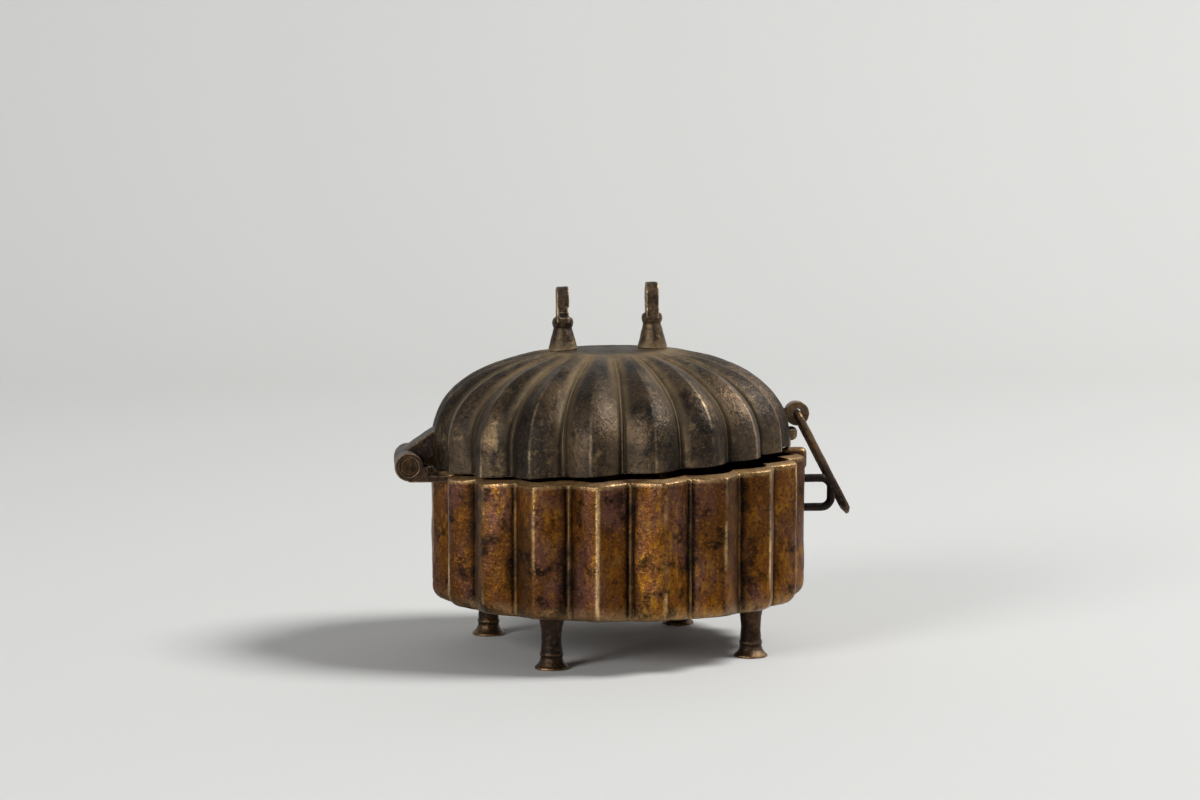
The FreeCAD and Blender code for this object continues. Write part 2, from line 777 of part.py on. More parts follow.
def hasp_eye():
    width = size("hasp_eye_width")
    ring = cylinder("hasp_eye_ring", size("hasp_eye_radius"), width, (eye_x, -(width / 2), eye_z), ALONG_Y)
    groove_x = lid_radius - size("lid_groove_depth") - size("lid_back")
    inner_x = groove_x - size("lid_wall") - size("lid_peen_reach")
    shank = shank_and_hole(lid_tools, "hasp_eye_shank", size("hasp_shank_radius"), eye_x - inner_x,
                           (inner_x, 0, eye_z), ALONG_X)
    head = peen("hasp_eye_peen", lid_hollow, size("hasp_shank_radius"), groove_x, inner_x, 0, eye_z)
    bore = cylinder("hasp_eye_hole", size("hasp_eye_bore"), width, (eye_x, -(width / 2), eye_z), ALONG_Y)
    outside = cut("hasp_eye_outside", ring, lid_blank)
    sub_part(cut("hasp_eye_bored", fuse("hasp_eye_whole", [outside, shank, head]), bore), "hasp_eye", LID_REST)


hasp_eye()

lid_drills = fuse("lid_drills", lid_tools)
sub_part(cut("lid_shell_drilled", lid_blank, lid_drills), "lid_shell", LID_REST)


# Hasp link: half a loop of rod, mirrored, with a pointed tip; it points up here and is turned to hang
def hasp_link():
    body = doc.addObject("PartDesign::Body", "hasp_link_body")
    rod_radius = size("link_rod_radius")
    half = size("link_slot_width") / 2 + rod_radius
    end = size("link_slot_length") + rod_radius
    bend = size("link_bend")
    path = new_sketch(body, "hasp_link_path", "YZ_Plane")
    corners = [(0, 0), (half - bend, 0), (half, bend), (half, end - bend), (half - bend, end), (0, end)]
    outline(path, corners, {1: (bend, -1), 3: (bend, -1)}, closed=False)
    pipe = rod(body, path, rod_radius, "XZ_Plane")
    other_half = body.newObject("PartDesign::Mirrored", "hasp_link_other_half")
    other_half.Originals = [pipe]
    other_half.MirrorPlane = (origin_plane(body, "XZ_Plane"), [""])
    body.Tip = other_half
    tip_corners = [
        (0, end),
        (size("link_tip_base"), end),
        (size("link_tip_radius"), end + size("link_tip_length")),
        (0, end + size("link_tip_length")),
    ]
    turned(body, tip_corners, {})
    hang = Rotation(Y_AXIS, 180 - number("link_hang_angle"))
    pivot = LID_REST.multVec(Vector(eye_x.number, 0, eye_z.number))
    sub_part(body, "hasp_link", Placement(pivot, hang))


hasp_link()

# Every object is checked before anything is written
doc.recompute()
for item in doc.Objects:
    if "Invalid" in item.State or "Error" in item.State:
        raise RuntimeError(f"{item.Name} failed: {item.State}")

os.makedirs("parts", exist_ok=True)
for item in sub_parts:
    shape = item.Shape
    if shape.isNull() or not shape.isValid() or not shape.Solids:
        raise RuntimeError(f"{item.Label} has no valid solid")
    print(f"{item.Label}: {len(shape.Solids)} solid, {shape.Volume:.1f} mm3")
for item in sub_parts:
    item.Shape.exportStep(f"parts/{item.Label}.step")
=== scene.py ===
# %% [markdown]
# # A lobed bronze casket
# This lesson dresses a cast bronze casket: a round bowl and a domed lid with pressed lobes, on turned
# feet, with forged fittings. The engineering model gives every size and place, and it is loaded first as
# a fixed frame. Each piece made here stands in the same frame, in metres, with +X towards the hasp and +Z
# up.

# %% Load the frame
import math

import bmesh
import bpy
import numpy as np
from mathutils import Matrix, Vector


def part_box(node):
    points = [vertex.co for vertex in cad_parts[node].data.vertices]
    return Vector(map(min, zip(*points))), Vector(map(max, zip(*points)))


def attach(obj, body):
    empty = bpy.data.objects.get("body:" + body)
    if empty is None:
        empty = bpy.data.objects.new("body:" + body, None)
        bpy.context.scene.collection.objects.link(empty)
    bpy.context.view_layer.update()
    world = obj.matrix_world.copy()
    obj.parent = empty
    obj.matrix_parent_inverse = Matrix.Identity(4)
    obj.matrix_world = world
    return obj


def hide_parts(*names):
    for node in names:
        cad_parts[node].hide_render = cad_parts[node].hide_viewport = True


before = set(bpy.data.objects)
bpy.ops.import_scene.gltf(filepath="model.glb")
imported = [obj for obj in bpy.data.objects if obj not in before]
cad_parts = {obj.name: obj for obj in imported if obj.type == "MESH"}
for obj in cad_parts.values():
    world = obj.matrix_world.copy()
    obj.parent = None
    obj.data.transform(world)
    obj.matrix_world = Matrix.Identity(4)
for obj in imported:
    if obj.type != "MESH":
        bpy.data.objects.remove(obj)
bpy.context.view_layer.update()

# %% [markdown]
# ## One way to add a node
# Shader trees and geometry trees are both graphs of nodes. A function for each kind of node would be much
# to learn, so this one small function adds any node, sets its properties and fills its sockets. A socket
# takes a plain value, another node (its first output) or a certain output. Sizes are written in
# millimetres throughout and become metres when multiplied by MM.

# %% The node function and the colour function
MM = 0.001


def add(tree, kind, inputs=None, **settings):
    """Adds a node with its settings, and fills or links its inputs."""
    node = tree.nodes.new(kind)
    for name, value in settings.items():
        setattr(node, name, value)
    for key, value in (inputs or {}).items():
        if isinstance(value, bpy.types.Node):
            tree.links.new(value.outputs[0], node.inputs[key])
        elif isinstance(value, bpy.types.NodeSocket):
            tree.links.new(value, node.inputs[key])
        else:
            node.inputs[key].default_value = value
    return node


def colour(code):
    """Linear colour of an sRGB hex value."""
    shares = [int(code[index:index + 2], 16) / 255 for index in (1, 3, 5)]
    linear = [s / 12.92 if s <= 0.04045 else ((s + 0.055) / 1.055) ** 2.4 for s in shares]
    return (*linear, 1.0)


print("rubbed bronze in linear light", [round(v, 3) for v in colour("#d8b680")])

# %% [markdown]
# ## Old cast bronze: the oxide
# The metal is cast bronze after long handling. Its skin is a brown oxide, thin and warm on the bowl,
# thicker and greyer on the lid. A picture painted by hand would fit one mesh only, so noise of a real
# size draws it: patches a few centimetres across, drawn out upright because wear and wet run down a wall,
# and golden mottling about 2.5 mm across where the oxide is thin.

# %% The oxide
RUN_DOWN = (1.0, 1.0, 0.45)
SECOND_PLACE = (0.31, 0.17, 0.23)
MOTTLE_MM = 2.5
# Noise levels at which a layer starts and is full
WARM_LEVELS = (0.45, 0.6)
COOL_LEVELS = (0.45, 0.58)
GOLD_LEVELS = (0.46, 0.66)
COOL_MOST = 0.9


def oxide(tree, tone, place, patch_mm, mottling):
    """Colour of warm and cool patches with golden mottling, and the noise of the patches."""
    runs = add(tree, "ShaderNodeMapping", {"Vector": place, "Scale": RUN_DOWN})
    patches = add(tree, "ShaderNodeTexNoise",
                  {"Vector": runs, "Scale": 1000 / patch_mm, "Detail": 6.0, "Roughness": 0.65})
    warm = add(tree, "ShaderNodeMapRange",
               {"Value": patches, "From Min": WARM_LEVELS[0], "From Max": WARM_LEVELS[1]})
    skin = add(tree, "ShaderNodeMix", {0: warm, 6: tone["skin"], 7: tone["warm"]}, data_type="RGBA")
    moved = add(tree, "ShaderNodeMapping", {"Vector": runs, "Location": SECOND_PLACE})
    bruises = add(tree, "ShaderNodeTexNoise",
                  {"Vector": moved, "Scale": 1300 / patch_mm, "Detail": 4.0, "Roughness": 0.55})
    cool = add(tree, "ShaderNodeMapRange",
               {"Value": bruises, "From Min": COOL_LEVELS[0], "From Max": COOL_LEVELS[1],
                "To Max": COOL_MOST})
    skin = add(tree, "ShaderNodeMix", {0: cool, 6: skin.outputs[2], 7: tone["cool"]}, data_type="RGBA")
    mottle = add(tree, "ShaderNodeTexNoise",
                 {"Vector": runs, "Scale": 1000 / MOTTLE_MM, "Detail": 5.0, "Roughness": 0.7})
    golden = add(tree, "ShaderNodeMapRange",
                 {"Value": mottle, "From Min": GOLD_LEVELS[0], "From Max": GOLD_LEVELS[1],
                  "To Max": mottling})
    golden = add(tree, "ShaderNodeMath", {0: golden, 1: warm}, operation="MULTIPLY")
    skin = add(tree, "ShaderNodeMix", {0: golden, 6: skin.outputs[2], 7: tone["gold"]}, data_type="RGBA")
    return skin.outputs[2], patches


print("mottling", MOTTLE_MM, "mm across, drawn out", round(1 / RUN_DOWN[2], 1), "times as tall as wide")

# %% [markdown]
# ## Old cast bronze: spots and pits
# A casting is never even: dark blotches about 8 mm across show where the oxide is thick, tan ones where
# dirt has dried, and a fine speckle of pits shows the sand of the mould. Two noises are enough for all
# four, because each one's high levels give one kind of spot and its low levels another.

# %% Spots and pits
BLOTCH_MM = 8.0
# Real pits lie closer together, and these are drawn as coarse as they need to show
PIT_MM = 1.25
PIT_MOST = 0.8
FLECK_MOST = 0.5


def spotted(tree, tone, place, skin, blotch, tan_spots):
    """Colour with blotches, tan spots, pits and golden flecks, and the two noises behind them."""
    spots = add(tree, "ShaderNodeTexNoise",
                {"Vector": place, "Scale": 1000 / BLOTCH_MM, "Detail": 5.0, "Roughness": 0.6})
    grain = add(tree, "ShaderNodeTexNoise",
                {"Vector": place, "Scale": 1000 / PIT_MM, "Detail": 4.0, "Roughness": 0.7})
    # Each layer's noise, the levels at which it starts and is full, its most and its colour
    layers = (
        (spots, 0.54, 0.66, blotch, "dark"),
        (spots, 0.4, 0.32, tan_spots, "dust"),
        (grain, 0.56, 0.66, PIT_MOST, "dark"),
        (grain, 0.43, 0.33, FLECK_MOST, "gold"),
    )
    for noise, start, full, most, shade in layers:
        share = add(tree, "ShaderNodeMapRange",
                    {"Value": noise, "From Min": start, "From Max": full, "To Max": most})
        mixed = add(tree, "ShaderNodeMix", {0: share, 6: skin, 7: tone[shade]}, data_type="RGBA")
        skin = mixed.outputs[2]
    return skin, spots, grain


print("blotches", BLOTCH_MM, "mm, pits", PIT_MM, "mm apart")

# %% [markdown]
# ## Old cast bronze: grime, rubbing, dust and painted light
# Keels and corners are rubbed to bright metal, grooves hold black grime, and dust lies in the corners.
# The bright colour on the keels and on the hasp is partly a painted highlight, and the dark on the lid's
# disc and at the hasp link's tip is partly painted shade. These follow the shape, so noise alone can't
# place them. Each piece carries three attributes, for grime with painted shade, for wear with painted
# highlight, and for dust, that say where they are, and the noise only breaks up their edges. Rubbed metal
# is also smoother, grime rougher, and dust is matt and no metal at all.

# %% Grime and painted shade, rubbing and painted highlight, and dust
# Each mark's noise levels at which it is least and full, its least share, its colour and its roughness
# The grime layer also paints shade with the dark tone, and the worn layer also paints highlights with the
# bright tone
MARK_LAYERS = {
    "grime_and_shade": (0.75, 1.1, 0.7, "dark", 0.2),
    "worn_and_highlight": (1.2, 0.85, 0.25, "bright", -0.12),
    "dust": (0.8, 1.2, 0.35, "dust", 0.4),
}


def marked(tree, tone, skin, gloss, ragged):
    """Colour and roughness with the three marks over them, and each mark's share."""
    shares = {}
    for mark, (start, full, least, shade, rougher) in MARK_LAYERS.items():
        field = add(tree, "ShaderNodeAttribute", attribute_name=mark).outputs["Fac"]
        broken = add(tree, "ShaderNodeMapRange",
                     {"Value": ragged, "From Min": start, "From Max": full, "To Min": least})
        share = add(tree, "ShaderNodeMath", {0: field, 1: broken}, operation="MULTIPLY", use_clamp=True)
        mixed = add(tree, "ShaderNodeMix", {0: share, 6: skin, 7: tone[shade]}, data_type="RGBA")
        gloss = add(tree, "ShaderNodeMath", {0: share, 1: rougher, 2: gloss},
                    operation="MULTIPLY_ADD", use_clamp=True)
        skin = mixed.outputs[2]
        shares[mark] = share
    return skin, gloss, shares


print("marks", list(MARK_LAYERS))

# %% [markdown]
# ## Old cast bronze: the finish
# One function puts the layers together, so that every finish on the casket is the same metal with another
# palette. The pits and blotches also raise a slight bump. Bronze is a metal with the default index of
# refraction. Its metallic value is a little under one, because oxide isn't metal.

# %% The bronze finish
GLOSS_LEVELS = (0.35, 0.65)
DULLER = 0.08
SHINIER = 0.06
DUST_COVER = 0.8
GRAIN_SHARE = 0.4
BUMP_STRENGTH = 0.75
BUMP_MM = 0.9


def old_bronze(name, palette, metallic, roughness, patch_mm, blotch, mottling, tan_spots):
    """Bronze with patches of oxide, speckle and pits, rubbed edges, grime and dust."""
    tone = {part: colour(code) for part, code in palette.items()}
    material = bpy.data.materials.new(name)
    material.use_nodes = True
    tree = material.node_tree
    tree.nodes.clear()
    place = add(tree, "ShaderNodeTexCoord").outputs["Object"]
    skin, patches = oxide(tree, tone, place, patch_mm, mottling)
    skin, spots, grain = spotted(tree, tone, place, skin, blotch, tan_spots)
    gloss = add(tree, "ShaderNodeMapRange",
                {"Value": patches, "From Min": GLOSS_LEVELS[0], "From Max": GLOSS_LEVELS[1],
                 "To Min": roughness + DULLER, "To Max": roughness - SHINIER})
    ragged = add(tree, "ShaderNodeMath", {0: spots, 1: grain}, operation="ADD")
    skin, gloss, shares = marked(tree, tone, skin, gloss, ragged)
    metal = add(tree, "ShaderNodeMath", {0: shares["dust"], 1: -DUST_COVER * metallic, 2: metallic},
                operation="MULTIPLY_ADD")
    relief = add(tree, "ShaderNodeMath", {0: grain, 1: GRAIN_SHARE, 2: spots}, operation="MULTIPLY_ADD")
    bump = add(tree, "ShaderNodeBump",
               {"Height": relief, "Strength": BUMP_STRENGTH, "Distance": BUMP_MM * MM})
    shader = add(tree, "ShaderNodeBsdfPrincipled",
                 {"Base Color": skin, "Metallic": metal, "Roughness": gloss, "Normal": bump})
    add(tree, "ShaderNodeOutputMaterial", {"Surface": shader})
    return material


print("bump", BUMP_MM, "mm deep at most")

# %% [markdown]
# ## Five palettes
# The same metal has aged in five ways here. Each palette is matched to the object, from the colour
# of the oxide to the colour of its dust, and the sizes and shares beside it say how lively the skin is.

# %% The casket's finishes
# The feet's and the staple's palettes are darker partly as painted shade, not by age alone
# The bowl's oxide is thin: golden brown, with purple-brown patches where it is thicker
bowl_bronze = old_bronze(
    "cast_bronze_brown_skin",
    {"skin": "#583413", "warm": "#76440e", "gold": "#a9751c", "cool": "#5e3d35", "dark": "#110a06",
     "bright": "#d8b680", "dust": "#8a6f48"},
    metallic=0.9, roughness=0.34, patch_mm=26.0, blotch=0.85, mottling=0.85, tan_spots=0.2)
# The feet's skin is darkened as painted shade, for they stand in the bowl's shadow
foot_bronze_darkened_for_shade = old_bronze(
    "cast_bronze_brown_skin_darkened_for_shade",
    {"skin": "#352318", "warm": "#452e1c", "gold": "#6d5230", "cool": "#2d211d", "dark": "#0d0907",
     "bright": "#ad8c62", "dust": "#6f5b42"},
    metallic=0.85, roughness=0.38, patch_mm=12.0, blotch=0.8, mottling=0.6, tan_spots=0.15)
# The lid's oxide is thick and dry: grey-brown, with olive and tan
lid_bronze = old_bronze(
    "cast_bronze_grey_skin",
    {"skin": "#4a3d30", "warm": "#5c4a38", "gold": "#7d643e", "cool": "#29221c", "dark": "#0f0c09",
     "bright": "#cbb08c", "dust": "#86704f"},
    metallic=0.78, roughness=0.42, patch_mm=24.0, blotch=0.7, mottling=0.4, tan_spots=0.55)
# The forged fittings are nearly black, with brown where hands have rubbed them
dark_bronze = old_bronze(
    "forged_bronze_dark_skin",
    {"skin": "#33261d", "warm": "#463222", "gold": "#644a30", "cool": "#272020", "dark": "#0d0a08",
     "bright": "#a98a66", "dust": "#6f5c45"},
    metallic=0.75, roughness=0.42, patch_mm=9.0, blotch=0.6, mottling=0.5, tan_spots=0.4)
# The staple is nearly black, partly a dark patina and partly painted shade, for it sits in shadow
black_bronze_and_shade = old_bronze(
    "forged_bronze_black_skin_and_shade",
    {"skin": "#1f1814", "warm": "#2b1f17", "gold": "#3f2e20", "cool": "#191516", "dark": "#0b0908",
     "bright": "#6d5942", "dust": "#54483a"},
    metallic=0.75, roughness=0.45, patch_mm=9.0, blotch=0.6, mottling=0.4, tan_spots=0.2)
print("finishes", [m.name for m in (bowl_bronze, foot_bronze_darkened_for_shade, lid_bronze, dark_bronze, black_bronze_and_shade)])

# %% [markdown]
# ## Trees that make pieces
# Geometry Nodes make what follows a rule. Every tree in this lesson takes a blank, some sizes and a
# finish, and gives a finished piece, so three small functions are shared: one starts a tree, one ends it,
# and one gives it to a piece. Instances are realised at the end, because an exported model can't keep
# them.


# %% Start, end and use a tree
def start_tree(name, blank, sizes, made):
    """Tree with a blank, its sizes and a finish going in, and the made piece coming out."""
    tree = bpy.data.node_groups.new(name, "GeometryNodeTree")
    tree.interface.new_socket(blank, in_out="INPUT", socket_type="NodeSocketGeometry")
    for label in sizes:
        tree.interface.new_socket(label, in_out="INPUT", socket_type="NodeSocketFloat")
    tree.interface.new_socket("Finish", in_out="INPUT", socket_type="NodeSocketMaterial")
    tree.interface.new_socket(made, in_out="OUTPUT", socket_type="NodeSocketGeometry")
    return tree, add(tree, "NodeGroupInput").outputs


def end_tree(tree, shape, finish, made):
    shape = add(tree, "GeometryNodeSetShadeSmooth", {"Geometry": shape})
    shape = add(tree, "GeometryNodeRealizeInstances", {"Geometry": shape})
    shape = add(tree, "GeometryNodeSetMaterial", {"Geometry": shape, "Material": finish})
    add(tree, "NodeGroupOutput", {made: shape})
    print(tree.name, len(tree.nodes), "nodes")


def use_tree(piece, tree, sizes):
    """Adds the tree as a modifier and sets its inputs by their sockets' identifiers."""
    modifier = piece.modifiers.new(tree.name, "NODES")
    modifier.node_group = tree
    for socket in tree.interface.items_tree:
        if socket.in_out == "INPUT" and socket.name in sizes:
            modifier[socket.identifier] = sizes[socket.name]


def made_plain(piece):
    """Turns a piece with its modifiers into one plain mesh."""
    graph = bpy.context.evaluated_depsgraph_get()
    made = piece.evaluated_get(graph)
    mesh = bpy.data.meshes.new_from_object(made, preserve_all_data_layers=True, depsgraph=graph)
    piece.modifiers.clear()
    piece.data = mesh
    mesh.name = piece.name


print("trees before the lobes", len(bpy.data.node_groups))

# %% [markdown]
# ## The rule of the lobes: where a point lies
# The bowl and the lid are castings that share one rule: twenty lobes, each with a keel down its middle
# and a narrow groove on either side. They could be modelled one by one, but then every change would be
# made twenty times. Here the lobes are pressed into a plain turned blank by one tree. The real spacing
# drifts a little, as it does on hand-made patterns, so the angles follow a slow sine wave. The blank
# brings marks on every point: how deep the press goes and which way, how far the point follows the
# sloping edge, and where wear, grime and dust already are.

# %% The lobe tree: angle and lobe
BLANK_MARKS = ("press", "outer", "follow", "keel", "worn_and_highlight", "grime_and_shade", "dust", "flank_dust")
LOBE_SIZES = (
    "Lobe Count", "Drift", "Axis Place", "Groove Depth", "Bulge", "Keel Rounding", "Bead Half Width",
    "Bead Rise", "Line Depth", "Edge Height", "Edge Slope", "Unevenness", "Lump Size", "Seed",
)
tree, given = start_tree("pressed_lobes", "Blank", LOBE_SIZES, "Casting")
pressed_lobes = tree
brought = {
    label: add(tree, "GeometryNodeInputNamedAttribute", {"Name": label}, data_type="FLOAT")
    for label in BLANK_MARKS
}
inward = add(tree, "GeometryNodeInputNamedAttribute", {"Name": "inward"}, data_type="FLOAT_VECTOR")
place = add(tree, "GeometryNodeInputPosition")
point = add(tree, "ShaderNodeSeparateXYZ", {0: place})
across = add(tree, "ShaderNodeMath", {0: point.outputs["X"], 1: given["Axis Place"]}, operation="SUBTRACT")
angle = add(tree, "ShaderNodeMath", {0: point.outputs["Y"], 1: across}, operation="ARCTAN2")
# The even angle behind a drifted one, found in three rounds
even = angle
for _ in range(3):
    twice = add(tree, "ShaderNodeMath", {0: even, 1: 2.0}, operation="MULTIPLY")
    wave = add(tree, "ShaderNodeMath", {0: twice}, operation="SINE")
    even = add(tree, "ShaderNodeMath", {0: wave, 1: given["Drift"], 2: angle}, operation="MULTIPLY_ADD")
turns = add(tree, "ShaderNodeMath", {0: even, 1: 2 * math.pi}, operation="DIVIDE")
count = add(tree, "ShaderNodeMath", {0: turns, 1: given["Lobe Count"]}, operation="MULTIPLY")
lobe = add(tree, "ShaderNodeMath", {0: count}, operation="FRACT")
print("lobe tree so far", len(tree.nodes), "nodes")

# %% [markdown]
# ## The rule of the lobes: how far it sinks
# A point sinks evenly from the keel to the groove, less a slight hump, so that the flanks are full and
# not flat. The keel is rounded off with a square root, which is smooth where a plain distance would leave
# a sharp edge.

# %% The lobe tree: keel and flanks
HUMP_HEIGHT = 4.0
off = add(tree, "ShaderNodeMath", {0: lobe, 1: 2.0, 2: -1.0}, operation="MULTIPLY_ADD")
square = add(tree, "ShaderNodeMath", {0: off, 1: off}, operation="MULTIPLY")
rounding = add(tree, "ShaderNodeMath", {0: given["Keel Rounding"], 1: given["Keel Rounding"], 2: square},
               operation="MULTIPLY_ADD")
far = add(tree, "ShaderNodeMath", {0: rounding}, operation="SQRT")
# 0 on the keel and 1 in the groove
far = add(tree, "ShaderNodeMath", {0: far, 1: 1.0}, operation="MINIMUM")
near = add(tree, "ShaderNodeMath", {0: 1.0, 1: far}, operation="SUBTRACT")
hump = add(tree, "ShaderNodeMath", {0: far, 1: near}, operation="MULTIPLY")
hump = add(tree, "ShaderNodeMath", {0: hump, 1: HUMP_HEIGHT}, operation="MULTIPLY")
swell = add(tree, "ShaderNodeMath", {0: hump, 1: given["Bulge"]}, operation="MULTIPLY")
sink = add(tree, "ShaderNodeMath", {0: far, 1: given["Groove Depth"]}, operation="MULTIPLY")
sink = add(tree, "ShaderNodeMath", {0: sink, 1: swell}, operation="SUBTRACT")
print("lobe tree so far", len(tree.nodes), "nodes")

# %% [markdown]
# ## The rule of the lobes: bead and lines
# Along the bottom of each groove runs a narrow bead with an incised line on either side. They could be a
# bump in the material, but they catch the light and show at the edge, so they are real relief. Their
# place is measured in metres from the groove's middle, so they stay as wide where the lobes get narrow.

# %% The lobe tree: bead, lines and press
BEAD_FLAT = 0.3
flat = add(tree, "ShaderNodeCombineXYZ", {"X": across, "Y": point.outputs["Y"]})
radius = add(tree, "ShaderNodeVectorMath", {0: flat}, operation="LENGTH").outputs["Value"]
girth = add(tree, "ShaderNodeMath", {0: radius, 1: math.pi}, operation="MULTIPLY")
half_lobe = add(tree, "ShaderNodeMath", {0: girth, 1: given["Lobe Count"]}, operation="DIVIDE")
aside = add(tree, "ShaderNodeMath", {0: near, 1: half_lobe}, operation="MULTIPLY")
bead_end = add(tree, "ShaderNodeMath", {0: given["Bead Half Width"], 1: BEAD_FLAT}, operation="MULTIPLY")
bead = add(tree, "ShaderNodeMapRange",
           {"Value": aside, "From Min": given["Bead Half Width"], "From Max": bead_end,
            "To Max": given["Bead Rise"]}, interpolation_type="SMOOTHSTEP")
beside = add(tree, "ShaderNodeMath", {0: aside, 1: given["Bead Half Width"]}, operation="SUBTRACT")
beside = add(tree, "ShaderNodeMath", {0: beside}, operation="ABSOLUTE")
line = add(tree, "ShaderNodeMapRange",
           {"Value": beside, "From Min": given["Bead Half Width"], "From Max": 0.0,
            "To Max": given["Line Depth"]}, interpolation_type="SMOOTHSTEP")
bead = add(tree, "ShaderNodeMath", {0: line, 1: bead}, operation="SUBTRACT")
sink = add(tree, "ShaderNodeMath", {0: bead, 1: brought["outer"], 2: sink}, operation="MULTIPLY_ADD")
sink = add(tree, "ShaderNodeMath", {0: sink, 1: brought["press"]}, operation="MULTIPLY")
pressed = add(tree, "ShaderNodeVectorMath", {0: inward, "Scale": sink}, operation="SCALE")
shape = add(tree, "GeometryNodeSetPosition", {"Geometry": given["Blank"], "Offset": pressed})
print("lobe tree so far", len(tree.nodes), "nodes")

# %% [markdown]
# ## The rule of the lobes: edge and lumps
# The rim and the lid's edge aren't level, so the walls stretch up or down to a sloping edge. A hand-made
# pattern is also slightly lumpy. Slow noise with a fixed seed moves every point a little, the same way in
# each run.

# %% The lobe tree: sloping edge and unevenness
edge = add(tree, "ShaderNodeMath", {0: point.outputs["X"], 1: given["Edge Slope"], 2: given["Edge Height"]},
           operation="MULTIPLY_ADD")
rise = add(tree, "ShaderNodeMath", {0: edge, 1: point.outputs["Z"]}, operation="SUBTRACT")
rise = add(tree, "ShaderNodeMath", {0: rise, 1: brought["follow"]}, operation="MULTIPLY")
lift = add(tree, "ShaderNodeCombineXYZ", {"Z": rise})
shape = add(tree, "GeometryNodeSetPosition", {"Geometry": shape, "Offset": lift})
fine = add(tree, "ShaderNodeMath", {0: 1.0, 1: given["Lump Size"]}, operation="DIVIDE")
lumps = add(tree, "ShaderNodeTexNoise",
            {"Vector": place, "W": given["Seed"], "Scale": fine, "Detail": 3.0, "Roughness": 0.55},
            noise_dimensions="4D")
centred = add(tree, "ShaderNodeVectorMath", {0: lumps.outputs["Color"], 1: (0.5, 0.5, 0.5)},
              operation="SUBTRACT")
uneven = add(tree, "ShaderNodeVectorMath", {0: centred, "Scale": given["Unevenness"]}, operation="SCALE")
shape = add(tree, "GeometryNodeSetPosition", {"Geometry": shape, "Offset": uneven})
print("lobe tree so far", len(tree.nodes), "nodes")

# %% [markdown]
# ## The rule of the lobes: wear, painted highlight, grime and dust
# The tree knows keels and grooves, so it also writes down where they are worn, grimy and dusty, and keeps
# what the blank brought. The thin bright band down each keel is partly rubbed metal and partly a painted
# highlight, the bright line that a keel catches from the lamps. Noise of about 24 mm makes this band
# patchy and stains some grooves more than others.

# %% The lobe tree: marks
WANDER_MM = 24.0
# Where each mark starts and is full: shares of half a lobe, noise levels or millimetres
# The keel band is partly rubbed metal and partly a painted highlight, a thin bright line down each keel
KEEL_RUB_AND_HIGHLIGHT = (0.088, 0.056)
KEEL_RUB_AND_HIGHLIGHT_LEVELS = (0.56, 0.42)
KEEL_RUB_AND_HIGHLIGHT_LEAST = 0.05
BEAD_RUB_MM = (0.75, 0.25)
BEAD_RUB_MOST = 0.1
LINE_GRIME_MM = (0.85, 0.35)
STAIN_MM = (5.5, 1.0)
STAIN_LEVELS = (0.45, 0.58)
STAIN_MOST = 0.95
FLANK_DUST_MM = (4.5, 1.5)
wander = add(tree, "ShaderNodeTexNoise",
             {"Vector": place, "W": given["Seed"], "Scale": 1 / (WANDER_MM * MM), "Detail": 3.0,
              "Roughness": 0.6}, noise_dimensions="4D")
patchy = add(tree, "ShaderNodeMapRange",
             {"Value": wander, "From Min": KEEL_RUB_AND_HIGHLIGHT_LEVELS[0], "From Max": KEEL_RUB_AND_HIGHLIGHT_LEVELS[1],
              "To Min": KEEL_RUB_AND_HIGHLIGHT_LEAST})
keel = add(tree, "ShaderNodeMapRange",
           {"Value": far, "From Min": KEEL_RUB_AND_HIGHLIGHT[0], "From Max": KEEL_RUB_AND_HIGHLIGHT[1], "To Max": patchy},
           interpolation_type="SMOOTHSTEP")
keel = add(tree, "ShaderNodeMath", {0: keel, 1: brought["keel"]}, operation="MULTIPLY")
strip = add(tree, "ShaderNodeMapRange",
            {"Value": aside, "From Min": BEAD_RUB_MM[0] * MM, "From Max": BEAD_RUB_MM[1] * MM,
             "To Max": BEAD_RUB_MOST}, interpolation_type="SMOOTHSTEP")
# Painted highlight and wear: the keel band joins the rubbed strip on the bead
rubbing_and_highlight = add(tree, "ShaderNodeMath", {0: keel, 1: strip}, operation="MAXIMUM")
rubbing_and_highlight = add(tree, "ShaderNodeMath", {0: rubbing_and_highlight, 1: brought["outer"]}, operation="MULTIPLY")
lines = add(tree, "ShaderNodeMapRange",
            {"Value": beside, "From Min": LINE_GRIME_MM[0] * MM, "From Max": LINE_GRIME_MM[1] * MM},
            interpolation_type="SMOOTHSTEP")
held = add(tree, "ShaderNodeMapRange",
           {"Value": wander, "From Min": STAIN_LEVELS[0], "From Max": STAIN_LEVELS[1],
            "To Max": STAIN_MOST})
stain = add(tree, "ShaderNodeMapRange",
            {"Value": aside, "From Min": STAIN_MM[0] * MM, "From Max": STAIN_MM[1] * MM, "To Max": held},
            interpolation_type="SMOOTHSTEP")
dirt = add(tree, "ShaderNodeMath", {0: lines, 1: stain}, operation="MAXIMUM")
dirt = add(tree, "ShaderNodeMath", {0: dirt, 1: brought["outer"]}, operation="MULTIPLY")
flank = add(tree, "ShaderNodeMapRange",
            {"Value": aside, "From Min": FLANK_DUST_MM[0] * MM, "From Max": FLANK_DUST_MM[1] * MM},
            interpolation_type="SMOOTHSTEP")
flank = add(tree, "ShaderNodeMath", {0: flank, 1: brought["flank_dust"]}, operation="MULTIPLY")
print("lobe tree so far", len(tree.nodes), "nodes")

# %% Write the marks and end the lobe tree
SEAM_MM = 0.005
for label, made in (("worn_and_highlight", rubbing_and_highlight), ("grime_and_shade", dirt), ("dust", flank)):
    most = add(tree, "ShaderNodeMath", {0: made, 1: brought[label]}, operation="MAXIMUM")
    shape = add(tree, "GeometryNodeStoreNamedAttribute", {"Geometry": shape, "Name": label, "Value": most},
                data_type="FLOAT", domain="POINT")
